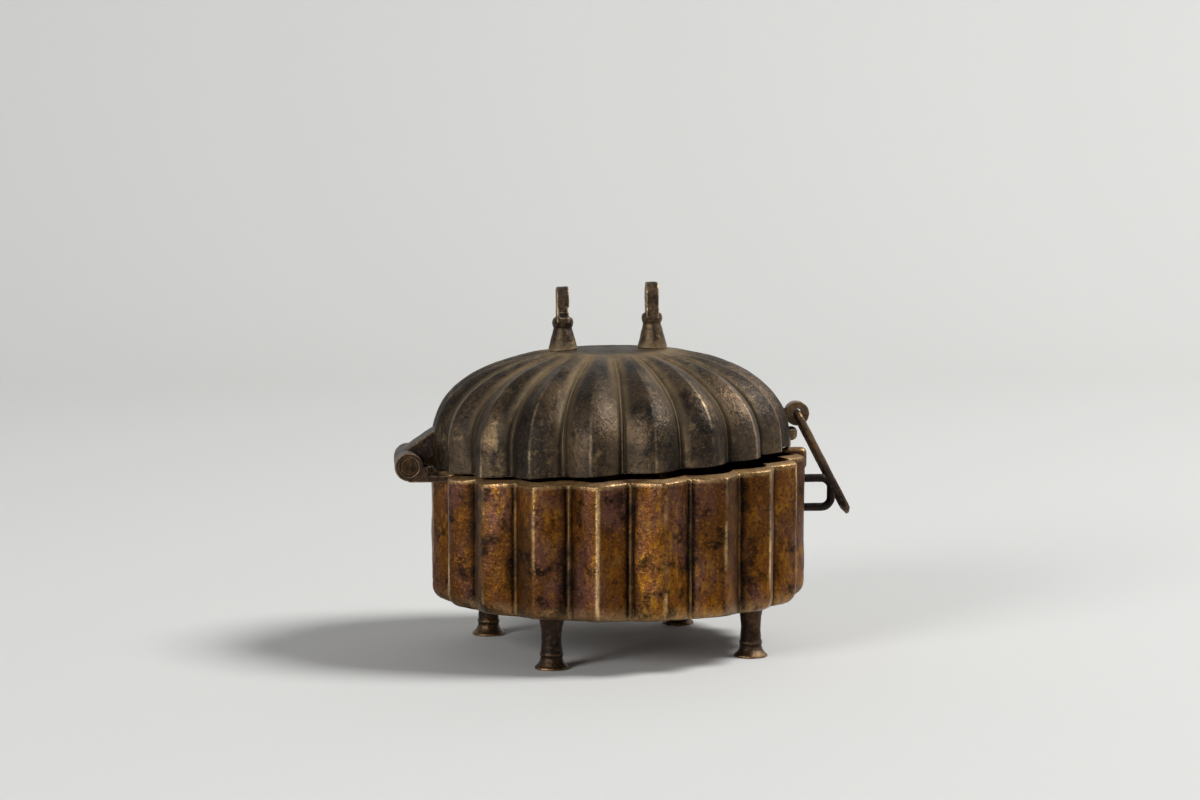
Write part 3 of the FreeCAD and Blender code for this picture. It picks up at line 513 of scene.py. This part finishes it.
# The middle rings have shrunk to one place each, where their points are joined
shape = add(tree, "GeometryNodeMergeByDistance", {"Geometry": shape, "Distance": SEAM_MM * MM})
end_tree(tree, shape, given["Finish"], "Casting")

# %% [markdown]
# ## Turned blanks
# Before pressing, the bowl and the lid are plain turned shapes. Each is a closed line of rings, from the
# middle of one side, over the edge and back to the middle of the other. A spun curve would give even
# points round a ring, but here they sit at the drifted angles, so that keels and grooves fall on points,
# and they crowd there, where the fine detail is.

# %% Build a blank
LOBES = 20
DRIFT = math.radians(3.2)
STEPS_PER_HALF = 20


def ring_angles():
    angles = []
    for half in range(2 * LOBES):
        for step in range(STEPS_PER_HALF):
            share = step / STEPS_PER_HALF
            share = share * share * (3 - 2 * share)
            even_angle = (half + share) * math.pi / LOBES
            angles.append(even_angle - DRIFT * math.sin(2 * even_angle))
    return angles


def turned_blank(name, rings, axis_x):
    """Closed mesh of rings; each ring is a dictionary with its radius, height and marks."""
    angles = ring_angles()
    points = []
    marks = {label: [] for label in BLANK_MARKS}
    ways_in = []
    for ring in rings:
        out_r, out_z = ring.get("out", (1.0, 0.0))
        for turn in angles:
            cosine, sine = math.cos(turn), math.sin(turn)
            reach = ring["radius"]
            points.append(((axis_x + reach * cosine) * MM, reach * sine * MM, ring["height"] * MM))
            ways_in.extend((-out_r * cosine, -out_r * sine, -out_z))
        for label, values in marks.items():
            values.extend([ring.get(label, 0.0)] * len(angles))
    faces = []
    around = len(angles)
    for row in range(len(rings) - 1):
        for column in range(around):
            follower = (column + 1) % around
            faces.append((row * around + column, row * around + follower,
                          (row + 1) * around + follower, (row + 1) * around + column))
    mesh = bpy.data.meshes.new(name)
    mesh.from_pydata(points, [], faces)
    for label, values in marks.items():
        mesh.attributes.new(label, "FLOAT", "POINT").data.foreach_set("value", values)
    mesh.attributes.new("inward", "FLOAT_VECTOR", "POINT").data.foreach_set("vector", ways_in)
    blank = bpy.data.objects.new(name, mesh)
    bpy.context.collection.objects.link(blank)
    return blank


print("points round a ring", len(ring_angles()))

# %% [markdown]
# ## The bowl: its rings
# The bowl's wall is upright, its lower edge is rounded, and its rim slopes up slightly towards the hasp.
# The keels are cut off a little at the rim, dust lies on top of it, and the inside is dark and matt. Each
# ring says all of this for its own height, so the whole bowl is one short list, and one closed skin with
# no seam at the rim.

# %% The bowl's rings
RIDGE_RADIUS = 80.0
CASTING_ROOM = 0.4
GROOVE_DEPTH = 7.0
BULGE = 0.8
BOWL_WALL = 4.0
BOWL_FLOOR = 4.0
BOTTOM_ROUND = 6.5
BOTTOM_PRESS = 0.25
FOOT_HEIGHT = 22.0
RIM_HEIGHT = 80.0
RIM_SLOPE = math.radians(2.2)
RIM_BEVEL_DEEP = 1.3
RIM_RUB_START = 0.97
WALL_TOP_DROP = 1.5
INNER_ROUND = 3.0
INNER_LOW = 0.03
BEAD_START = 0.9
# Shares of the most grime or rubbing
UNDER_GRIME = 0.35
INSIDE_GRIME = 0.45
FLOOR_GRIME = 0.5
BOTTOM_RUB = 0.35
RIM_RUB = 0.5
# Over the rim: inset in millimetres, drop in shares of the bevel, rubbing and dust
RIM_RINGS = [
    (0.08, 1.3, 0.55, 0.0), (0.3, 1.1, 0.5, 0.1), (0.7, 0.9, 0.3, 0.7), (1.3, 0.7, 0.1, 0.95),
    (2.1, 0.46, 0.05, 1.0), (3.0, 0.22, 0.0, 1.0), (3.6, 0.08, 0.0, 0.9), (BOWL_WALL, 0.3, 0.1, 0.3),
]


def bowl_rings():
    rings = []
    ridge = RIDGE_RADIUS - CASTING_ROOM
    floor_edge = ridge - BOTTOM_ROUND
    wall_low = FOOT_HEIGHT + BOTTOM_ROUND
    bevel_share = RIM_BEVEL_DEEP / (RIM_HEIGHT - wall_low)
    inside = ridge - BOWL_WALL
    floor_top = FOOT_HEIGHT + BOWL_FLOOR
    for share in np.linspace(0, 1, 8):
        rings.append({"radius": floor_edge * share, "height": FOOT_HEIGHT, "grime_and_shade": UNDER_GRIME,
                      "press": share ** 3 * BOTTOM_PRESS, "outer": float(share > BEAD_START)})
    for turn in np.linspace(0, math.pi / 2, 7)[1:]:
        rings.append({"radius": floor_edge + BOTTOM_ROUND * math.sin(turn),
                      "height": FOOT_HEIGHT + BOTTOM_ROUND * (1 - math.cos(turn)),
                      "press": BOTTOM_PRESS + (1 - BOTTOM_PRESS) * math.sin(turn) ** 1.5,
                      "outer": 1.0, "keel": math.sin(turn), "worn_and_highlight": BOTTOM_RUB * math.cos(turn)})
    for share in np.linspace(0, 1, 34)[1:]:
        rings.append({"radius": ridge, "height": wall_low, "press": 1.0, "outer": 1.0, "keel": 1.0,
                      "follow": (1 - WALL_TOP_DROP * bevel_share) * share,
                      "worn_and_highlight": RIM_RUB * max(0.0, share - RIM_RUB_START) / (1 - RIM_RUB_START)})
    for inset, drop, rubbed, dusty in RIM_RINGS:
        rings.append({"radius": ridge - inset, "height": wall_low, "press": 1.0,
                      "follow": 1 - drop * bevel_share, "worn_and_highlight": rubbed, "dust": dusty})
    for share in np.linspace(1, 0, 12)[1:]:
        rings.append({"radius": inside, "height": floor_top, "press": 1.0, "grime_and_shade": INSIDE_GRIME,
                      "follow": (1 - INNER_LOW) * share + INNER_LOW})
    for share in np.linspace(1, 0, 8)[1:]:
        rings.append({"radius": (inside - INNER_ROUND) * share, "height": floor_top, "press": share,
                      "grime_and_shade": FLOOR_GRIME})
    return rings


print("bowl rings", len(bowl_rings()), "each lobe", round(2 * math.pi * RIDGE_RADIUS / LOBES, 1), "mm wide")

# %% [markdown]
# ## The bowl: pressing it
# The tree now presses the lobes into the blank. Its result is made a plain mesh, which rides on the body
# and stands for the engineering model's shell.

# %% Press the bowl
bowl = turned_blank("bowl", bowl_rings(), 0.0)
use_tree(bowl, pressed_lobes, {
    "Lobe Count": float(LOBES), "Drift": DRIFT, "Axis Place": 0.0, "Groove Depth": GROOVE_DEPTH * MM,
    "Bulge": BULGE * MM, "Keel Rounding": 0.05, "Bead Half Width": 0.9 * MM, "Bead Rise": 0.5 * MM,
    "Line Depth": 0.8 * MM, "Edge Height": RIM_HEIGHT * MM, "Edge Slope": math.tan(RIM_SLOPE),
    "Unevenness": 1.5 * MM, "Lump Size": 16 * MM, "Seed": 3.0, "Finish": bowl_bronze,
})
made_plain(bowl)
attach(bowl, "body")
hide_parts("body_shell")
print("bowl", len(bowl.data.polygons), "faces")

# %% [markdown]
# ## The lid: its rings
# The lid is a dome whose section is a superellipse: nearly upright at its edge and nearly flat at the
# disc on top. A half ball would be too round at the shoulder. The grooves fade out at the disc, dust lies
# round it, and the disc is dark, partly with grime and partly with painted shade that keeps its flat top
# from reflecting pale. The keels' bright band, partly a painted highlight, fades towards the disc.

# %% The lid's rings
PIN = Vector((-88.5, 0.0, 79.4))
LID_RADIUS = 76.3
LID_RISE = 41.0
LID_POWER = 2.45
LID_WALL = 3.0
LID_STRAIGHT = 6.0
DISC_RADIUS = 26.0
DISC_CROWN = 1.1
DISC_PRESS_FADE = 0.6
DISC_LINE_FADE = 0.06
DISC_DUST_START = 0.86
DISC_OUT = (0.1, 0.99)
DISC_INSET = 1.0
EDGE_REACH = 0.97
# Shares of the most grime, dust or rubbing
LID_GRIME = 0.45
# Painted shade: the disc's grime also darkens its flat top, which would otherwise reflect pale
DISC_GRIME_AND_SHADE = 0.55
DISC_DUST = 0.1
DISC_EDGE_DUST = 0.6
SHOULDER_DUST = 0.75
FLANK_DUST = 0.1
FLANK_TOP_DUST = 0.75
FLANK_EDGE_DUST = 0.2
# The keels' bright band is partly rubbing and partly a painted highlight, strongest low on the lid
LID_KEEL_RUB_AND_HIGHLIGHT = 0.75
# Under the edge: inset in millimetres, share of the way down to the edge, and rubbing
LID_EDGE_RINGS = [(0.2, 0.99, 0.6), (0.8, 1.0, 0.3), (LID_WALL - 0.8, 1.0, 0.2), (LID_WALL, 0.98, 0.0)]


def dome_point(share):
    """Radius, height and outward direction at a share of the way from the straight edge to the disc."""
    power = 2 / LID_POWER
    turn = share * math.acos((DISC_RADIUS / LID_RADIUS) ** (1 / power))
    reach = LID_RADIUS * math.cos(turn) ** power
    height = LID_RISE * math.sin(turn) ** power
    steep_r = (reach / LID_RADIUS) ** (LID_POWER - 1) / LID_RADIUS
    steep_z = (height / LID_RISE) ** (LID_POWER - 1) / LID_RISE
    length = math.hypot(steep_r, steep_z)
    return reach, height, steep_r / length, steep_z / length


def lid_rings():
    rings = []
    base = PIN.z + LID_STRAIGHT
    disc_height = dome_point(1.0)[1]
    for share in np.linspace(0, 1, 9)[:-1]:
        rings.append({"radius": DISC_RADIUS * share,
                      "height": base + disc_height + DISC_CROWN * (1 - share ** 2),
                      "dust": DISC_DUST + DISC_EDGE_DUST * share ** 6,
                      "grime_and_shade": DISC_GRIME_AND_SHADE * (1 - share ** 4), "out": DISC_OUT})
    for share in np.linspace(1, 0, 40):
        reach, height, out_r, out_z = dome_point(share)
        rings.append({"radius": reach, "height": base + height, "out": (out_r, out_z),
                      "press": (1 - share) ** DISC_PRESS_FADE,
                      "outer": min(1.0, (1 - share) / DISC_LINE_FADE),
                      "flank_dust": FLANK_DUST + FLANK_TOP_DUST * share ** 1.2,
                      "keel": LID_KEEL_RUB_AND_HIGHLIGHT * (1 - share) ** 1.3,
                      "dust": SHOULDER_DUST * max(0.0, (share - DISC_DUST_START) / (1 - DISC_DUST_START))})
    for share in np.linspace(0, 1, 10)[1:]:
        rings.append({"radius": LID_RADIUS, "height": base, "press": 1.0, "outer": 1.0,
                      "keel": LID_KEEL_RUB_AND_HIGHLIGHT, "follow": EDGE_REACH * share,
                      "flank_dust": FLANK_EDGE_DUST * (1 - share)})
    for inset, follow, rubbed in LID_EDGE_RINGS:
        rings.append({"radius": LID_RADIUS - inset, "height": base, "press": 1.0, "follow": follow,
                      "worn_and_highlight": rubbed})
    for share in np.linspace(1, 0, 5)[1:]:
        rings.append({"radius": LID_RADIUS - LID_WALL, "height": base, "press": 1.0,
                      "follow": EDGE_REACH * share, "grime_and_shade": LID_GRIME})
    for share in np.linspace(0, 1, 20)[1:]:
        reach, height, out_r, out_z = dome_point(share)
        rings.append({"radius": reach - LID_WALL * out_r, "height": base + height - LID_WALL * out_z,
                      "press": (1 - share) ** DISC_PRESS_FADE, "out": (out_r, out_z), "grime_and_shade": LID_GRIME})
    for share in np.linspace(1, 0, 6)[1:]:
        rings.append({"radius": (DISC_RADIUS - DISC_INSET) * share, "height": base + disc_height - LID_WALL,
                      "grime_and_shade": LID_GRIME})
    return rings[::-1]


print("lid rings", len(lid_rings()))

# %% [markdown]
# ## The lid: pressing and resting it
# The same tree presses the lid's lobes, with its own depth and lines. The lid is built upright, because
# the rule is simple there, and then turned about the hinge pin by the small angle at which it rests on
# the lug.

# %% Press the lid
LID_BACK = 2.9
LID_DROP = 2.6
LID_EDGE_SLOPE = math.tan(math.radians(2.63))
LID_GROOVE_DEPTH = 6.5
LID_TURN = math.radians(0.8)
LID_REST = (
    Matrix.Translation(PIN * MM)
    @ Matrix.Rotation(-LID_TURN, 4, "Y")
    @ Matrix.Translation(-PIN * MM)
)
lid = turned_blank("lid", lid_rings(), -LID_BACK)
use_tree(lid, pressed_lobes, {
    "Lobe Count": float(LOBES), "Drift": DRIFT, "Axis Place": -LID_BACK * MM,
    "Groove Depth": LID_GROOVE_DEPTH * MM, "Bulge": BULGE * MM, "Keel Rounding": 0.06,
    "Bead Half Width": 0.7 * MM, "Bead Rise": 0.3 * MM, "Line Depth": 1.0 * MM,
    "Edge Height": (PIN.z - LID_DROP - PIN.x * LID_EDGE_SLOPE) * MM, "Edge Slope": LID_EDGE_SLOPE,
    "Unevenness": 1.3 * MM, "Lump Size": 17 * MM, "Seed": 8.0, "Finish": lid_bronze,
})
made_plain(lid)
lid.data.transform(LID_REST)
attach(lid, "lid")
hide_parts("lid_shell")
print("lid", len(lid.data.polygons), "faces")

# %% [markdown]
# ## Fittings worn soft: the surface
# The feet, posts, hinge, staple, eye and hasp were cast or forged plain and have lost every sharp corner.
# Modelling that wear by hand would be slow. Instead each engineering solid is copied, remeshed into even
# little squares and smoothed until its corners are round. This small tree then makes it slightly lumpy.
# The lumps go in more than out, so that a fitting stays inside its solid.

# %% The hand-forged surface tree
LUMP_LEVEL = 0.6
tree, given = start_tree("forged_surface", "Smooth", ("Lump Height", "Lump Size", "Seed"), "Forged")
forged_surface = tree
fine = add(tree, "ShaderNodeMath", {0: 1.0, 1: given["Lump Size"]}, operation="DIVIDE")
place = add(tree, "GeometryNodeInputPosition")
lumps = add(tree, "ShaderNodeTexNoise",
            {"Vector": place, "W": given["Seed"], "Scale": fine, "Detail": 2.5}, noise_dimensions="4D")
height = add(tree, "ShaderNodeMath", {0: lumps, 1: LUMP_LEVEL}, operation="SUBTRACT")
height = add(tree, "ShaderNodeMath", {0: height, 1: given["Lump Height"]}, operation="MULTIPLY")
outward = add(tree, "GeometryNodeInputNormal")
push = add(tree, "ShaderNodeVectorMath", {0: outward, "Scale": height}, operation="SCALE")
shape = add(tree, "GeometryNodeSetPosition", {"Geometry": given["Smooth"], "Offset": push})
end_tree(tree, shape, given["Finish"], "Forged")

# %% [markdown]
# ## Fittings worn soft: where hands and dirt come
# Hands rub what stands out, and dirt stays where nothing rubs. How sharply the surface bends at each
# point says both, so it is worked out from the edges round the point: outward bends are worn and inward
# bends are grimy. A shader's own edge effect would be lost in the exported model, and attributes stay
# with the mesh.

# %% Marks from bends and heights
RUB_START = 0.3
SPREAD_ROUNDS = 3


def rows_of_three(items, label):
    """Array of a mesh's points or normals."""
    values = np.empty(len(items) * 3)
    items.foreach_get(label, values)
    return values.reshape(-1, 3)


def bend_marks(mesh, full_bend):
    """Writes worn where the surface bends outwards and grime where it bends inwards, full_bend in 1/mm."""
    count = len(mesh.vertices)
    points = rows_of_three(mesh.vertices, "co")
    normals = rows_of_three(mesh.vertices, "normal")
    edges = np.empty(len(mesh.edges) * 2, dtype=np.int64)
    mesh.edges.foreach_get("vertices", edges)
    first, second = edges.reshape(-1, 2).T
    links = np.bincount(np.concatenate((first, second)), minlength=count)
    span = points[second] - points[first]
    length_squared = (span ** 2).sum(axis=1)
    bend = np.zeros(count)
    np.add.at(bend, first, -2 * (span * normals[first]).sum(axis=1) / length_squared)
    np.add.at(bend, second, 2 * (span * normals[second]).sum(axis=1) / length_squared)
    bend = bend / links * MM
    for _ in range(SPREAD_ROUNDS):
        around = np.zeros(count)
        np.add.at(around, first, bend[second])
        np.add.at(around, second, bend[first])
        bend = 0.5 * bend + 0.5 * around / links
    worn_and_highlight = np.clip((bend - RUB_START * full_bend) / full_bend, 0, 1)
    grime_and_shade = np.clip(-bend / full_bend, 0, 1)
    for label, values in (("worn_and_highlight", worn_and_highlight), ("grime_and_shade", grime_and_shade), ("dust", np.zeros(count))):
        mesh.attributes.new(label, "FLOAT", "POINT").data.foreach_set("value", values)


def height_mark(mesh, label, full_mm, none_mm, most):
    """Raises a mark from nothing at one height to its most at another."""
    values = np.empty(len(mesh.vertices))
    mesh.attributes[label].data.foreach_get("value", values)
    heights = rows_of_three(mesh.vertices, "co")[:, 2] / MM
    share = np.clip((heights - none_mm) / (full_mm - none_mm), 0, 1) * most
    mesh.attributes[label].data.foreach_set("value", np.maximum(values, share))


print("bends are spread over", SPREAD_ROUNDS, "rounds of neighbours")

# %% [markdown]
# ## Fittings worn soft: one worn copy
# A worn copy starts from the solid's own mesh, so it stands exactly where the engineering model has it.
# The mesh comes as loose triangles, and these are merged first, or the remesh would leave gaps.

# %% Make one worn copy
MERGE_MM = 0.001
LUMP_SIZE_MM = 3.5
FITTING_BEND = 0.85


def forged_piece(node, finish, body, cell_mm, rounds, lump_mm, seed):
    """Worn copy of an engineering solid, which it then stands for."""
    solid = bmesh.new()
    solid.from_mesh(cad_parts[node].data)
    bmesh.ops.remove_doubles(solid, verts=solid.verts, dist=MERGE_MM * MM)
    mesh = bpy.data.meshes.new(f"worn_{node}")
    solid.to_mesh(mesh)
    solid.free()
    mesh.materials.clear()
    piece = bpy.data.objects.new(f"worn_{node}", mesh)
    bpy.context.collection.objects.link(piece)
    remesh = piece.modifiers.new("even", "REMESH")
    remesh.mode = "VOXEL"
    remesh.voxel_size = cell_mm * MM
    smooth = piece.modifiers.new("soft", "SMOOTH")
    smooth.factor = 0.5
    smooth.iterations = rounds
    use_tree(piece, forged_surface, {
        "Lump Height": lump_mm * MM, "Lump Size": LUMP_SIZE_MM * MM, "Seed": seed, "Finish": finish,
    })
    made_plain(piece)
    bend_marks(piece.data, FITTING_BEND)
    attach(piece, body)
    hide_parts(node)
    return piece


print("solids to copy", len(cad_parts))

# %% [markdown]
# ## Feet, hinge, staple, posts and hasp
# The feet are brown like the bowl, only darker as painted shade, and the posts have the lid's grey skin.
# The hinge and the hasp are darker still, and the staple is black, partly as painted shade. A table keeps
# them side by side, with finer cells for thinner pieces. Some marks go by height: dust round the posts'
# roots, soles of the feet rubbed, an eye lightened partly as a painted highlight, and a link that is bright
# where hands hold it, partly as a painted highlight, and black where its tip meets the staple, partly as
# painted shade.

# %% Make the fittings
FEET = ("foot_front_left", "foot_front_right", "foot_rear_left", "foot_rear_right")
POSTS = ("handle_post_left", "handle_post_right")
POST_HEIGHT = 29.0
# Node, finish, body, slot, cell size, rounds of smoothing and lump height
FITTINGS = [(foot, foot_bronze_darkened_for_shade, "body", "body_bronze", 0.45, 4, 0.5) for foot in FEET]
FITTINGS += [
    ("hinge_knuckle_front", dark_bronze, "body", "fittings_bronze", 0.35, 4, 0.25),
    ("hinge_knuckle_rear", dark_bronze, "body", "fittings_bronze", 0.35, 4, 0.25),
    # The hinge pin shares the feet's palette, darkened as painted shade
    ("hinge_pin", foot_bronze_darkened_for_shade, "body", "fittings_bronze", 0.4, 4, 0.2),
    ("staple", black_bronze_and_shade, "body", "fittings_bronze", 0.35, 4, 0.4),
    ("lid_hinge_arm", dark_bronze, "lid", "fittings_bronze", 0.4, 16, 0.6),
]
FITTINGS += [(post, lid_bronze, "lid", "lid_bronze", 0.3, 12, 0.6) for post in POSTS]
FITTINGS += [
    ("hasp_eye", dark_bronze, "lid", "fittings_bronze", 0.3, 4, 0.3),
    ("hasp_link", dark_bronze, "hasp", "fittings_bronze", 0.3, 4, 0.35),
]
post_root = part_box("handle_post_right")[1].z / MM - POST_HEIGHT
link_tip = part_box("hasp_link")[0].z / MM
eye_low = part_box("hasp_eye")[0].z / MM
# Mark, height where it is full, height where it ends, and its most
HEIGHT_MARKS = {foot: [("worn_and_highlight", 0.0, 5.0, 0.35)] for foot in FEET}
HEIGHT_MARKS.update({post: [("dust", post_root, post_root + 5.0, 0.9)] for post in POSTS})
# Painted highlight: the eye's lighter tone is partly rubbing and partly a painted highlight
HEIGHT_MARKS["hasp_eye"] = [("worn_and_highlight", eye_low + 6.0, eye_low, 0.35)]
# The link's upper part is lighter partly as a painted highlight, and its tip darker partly as painted shade
HEIGHT_MARKS["hasp_link"] = [
    ("worn_and_highlight", link_tip + 30.0, link_tip + 14.0, 0.45),
    ("grime_and_shade", link_tip + 8.0, link_tip + 14.0, 0.85),
]
for seed, (node, finish, body, slot, cell_mm, rounds, lump_mm) in enumerate(FITTINGS):
    piece = forged_piece(node, finish, body, cell_mm, rounds, lump_mm, float(seed))
    for label, full_mm, none_mm, most in HEIGHT_MARKS.get(node, []):
        height_mark(piece.data, label, full_mm, none_mm, most)
    print(piece.name, len(piece.data.polygons), "faces")

# %% [markdown]
# ## The lugs at the hasp and the web at the hinge
# The bowl's rim and the lid's edge each have a lug at the hasp, and the lid has a boss under the eye.
# They were cast in one with the shells. The pressing rule has no place for a single lug, so they are made
# as rounded blocks that sink into the shells. A fourth block is the web under the hinge arm, which joins
# the arm to the lid.


# %% Rounded blocks
LUG_BEND = 0.6


def lug(name, low, high, rounding_mm, finish, body, turn=None, dusty=0.0):
    """Rounded block between two corners, turned with the resting lid where it belongs to it."""
    block = bmesh.new()
    bmesh.ops.create_cube(block, size=1.0)
    middle = (Vector(low) + Vector(high)) / 2
    span = Vector(high) - Vector(low)
    for vertex in block.verts:
        vertex.co = Vector(m + c * s for m, c, s in zip(middle, vertex.co, span)) * MM
    bmesh.ops.bevel(block, geom=block.edges[:], offset=rounding_mm * MM, segments=4, profile=0.5,
                    affect="EDGES")
    bmesh.ops.subdivide_edges(block, edges=block.edges[:], cuts=3, use_grid_fill=True)
    mesh = bpy.data.meshes.new(name)
    block.to_mesh(mesh)
    block.free()
    mesh.materials.append(finish)
    mesh.polygons.foreach_set("use_smooth", [True] * len(mesh.polygons))
    if turn is not None:
        mesh.transform(turn)
    bend_marks(mesh, LUG_BEND)
    if dusty:
        lying = [max(0.0, vertex.normal.z) * dusty for vertex in mesh.vertices]
        mesh.attributes["dust"].data.foreach_set("value", lying)
    piece = bpy.data.objects.new(name, mesh)
    bpy.context.collection.objects.link(piece)
    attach(piece, body)
    print(name, len(mesh.polygons), "faces")


# %% Make the lugs and the web
RIM_LUG_RISE = 1.56
RIM_LUG_INSIDE = 70.0
RIM_LUG_OUTSIDE = 80.8
RIM_LUG_FOOT = 74.8
RIM_LUG_HALF = 2.8
RIM_LUG_ROUND = 2.2
RIM_LUG_DUST = 0.7
# The lid is upright here, so its heights are above the pin, and its lug goes below the place where it lands
LID_LUG_HALF = 3.0
LID_LUG_SINK = 2.5
LID_BOSS_REACH = 10.0
LID_BOSS_LOW = 5.7
LID_BOSS_HIGH = 11.6
LID_BOSS_ROUND = 2.4
LID_LUG_REACH = 7.0
LID_LUG_BELOW = 1.95
LID_LUG_HIGH = 8.0
LID_LUG_ROUND = 0.8
WEB_START = 5.0
WEB_SINK = 1.0
WEB_HALF = 3.5
WEB_BELOW = 1.9
WEB_HIGH = 6.0
WEB_ROUND = 0.7
groove_x = LID_RADIUS - LID_GROOVE_DEPTH - LID_BACK
lug_x = groove_x - LID_LUG_SINK
web_x = -LID_BACK - LID_RADIUS + LID_GROOVE_DEPTH + WEB_SINK
lug_top = RIM_HEIGHT + (RIDGE_RADIUS - GROOVE_DEPTH) * math.tan(RIM_SLOPE) + RIM_LUG_RISE
lug("rim_lug", (RIM_LUG_INSIDE, -RIM_LUG_HALF, RIM_LUG_FOOT), (RIM_LUG_OUTSIDE, RIM_LUG_HALF, lug_top),
    RIM_LUG_ROUND, bowl_bronze, "body", dusty=RIM_LUG_DUST)
lug("lid_boss", (lug_x, -LID_LUG_HALF, PIN.z + LID_BOSS_LOW),
    (groove_x + LID_BOSS_REACH, LID_LUG_HALF, PIN.z + LID_BOSS_HIGH),
    LID_BOSS_ROUND, lid_bronze, "lid", turn=LID_REST)
lug("lid_lug", (lug_x, -LID_LUG_HALF, lug_top - LID_LUG_BELOW),
    (groove_x + LID_LUG_REACH, LID_LUG_HALF, PIN.z + LID_LUG_HIGH),
    LID_LUG_ROUND, lid_bronze, "lid", turn=LID_REST)
lug("arm_web", (PIN.x + WEB_START, -WEB_HALF, PIN.z - WEB_BELOW), (web_x, WEB_HALF, PIN.z + WEB_HIGH),
    WEB_ROUND, dark_bronze, "lid", turn=LID_REST)
print("top of the rim's lug", round(lug_top, 2), "mm")

# %% [markdown]
# ## The floor
# The casket stands on a plain pale sweep: a floor that curves up into a backdrop. A flat floor would end
# in a hard horizon behind the piece.

# %% The sweep of floor and backdrop
FLOOR_FRONT = -3.0
CURVE_START = 1.2
CURVE_ROUND = 0.8
BACKDROP_TOP = 4.0
HALF_WIDTH = 5.0
profile = [(FLOOR_FRONT, 0.0), (CURVE_START, 0.0)]
for turn in np.linspace(0, math.pi / 2, 12)[1:]:
    profile.append((CURVE_START + CURVE_ROUND * math.sin(turn), CURVE_ROUND * (1 - math.cos(turn))))
profile.append((CURVE_START + CURVE_ROUND, BACKDROP_TOP))
corners = [(x, y, z) for y, z in profile for x in (-HALF_WIDTH, HALF_WIDTH)]
strips = [(2 * i, 2 * i + 1, 2 * i + 3, 2 * i + 2) for i in range(len(profile) - 1)]
sweep = bpy.data.meshes.new("floor")
sweep.from_pydata(corners, [], strips)
sweep.polygons.foreach_set("use_smooth", [True] * len(strips))
# Pale matt paper, which takes the shadow softly
paper = bpy.data.materials.new("pale_paper")
paper.use_nodes = True
paper_shader = paper.node_tree.nodes["Principled BSDF"]
paper_shader.inputs["Base Color"].default_value = colour("#cbcbc9")
paper_shader.inputs["Roughness"].default_value = 0.9
sweep.materials.append(paper)
floor = bpy.data.objects.new("floor", sweep)
bpy.context.collection.objects.link(floor)
print("floor", len(strips), "strips")

# %% [markdown]
# ## Light and camera
# A large soft lamp stands high on the right and a weaker one low on the left, in a pale and dim room, so
# that the bronze shows both its colour and its shine. The camera stands where the photograph's did: a
# long lens, a little above the rim, slightly to the left.

# %% Lamps, room and camera
LIT_POINT = (0.0, 0.0, 0.08)
ROOM_STRENGTH = 0.17
# Name, place, width in metres and watts
LAMPS = [
    ("key_lamp", (2.35, -0.25, 2.75), 1.25, 138.0),
    ("fill_lamp", (-2.3, -2.4, 1.3), 1.45, 72.0),
]
for name, spot, width, watts in LAMPS:
    light = bpy.data.lights.new(name, "AREA")
    light.shape = "DISK"
    light.size = width
    light.energy = watts
    lamp = bpy.data.objects.new(name, light)
    lamp.location = spot
    lamp.rotation_euler = (Vector(LIT_POINT) - Vector(spot)).to_track_quat("-Z", "Y").to_euler()
    bpy.context.collection.objects.link(lamp)
room = bpy.data.worlds.new("soft_room")
bpy.context.scene.world = room
room.use_nodes = True
room.node_tree.nodes["Background"].inputs["Color"].default_value = colour("#e6e6e6")
room.node_tree.nodes["Background"].inputs["Strength"].default_value = ROOM_STRENGTH
lens = bpy.data.cameras.new("camera")
lens.lens = 100.0
lens.sensor_width = 36.0
camera = bpy.data.objects.new("camera", lens)
camera.location = (-0.1053, -1.4011, 0.246)
camera.rotation_euler = (math.radians(84.27), 0.0, math.radians(-4.0))
bpy.context.collection.objects.link(camera)
bpy.context.scene.camera = camera
bpy.context.scene.view_settings.view_transform = "Standard"
print("camera", [round(v, 3) for v in camera.location])
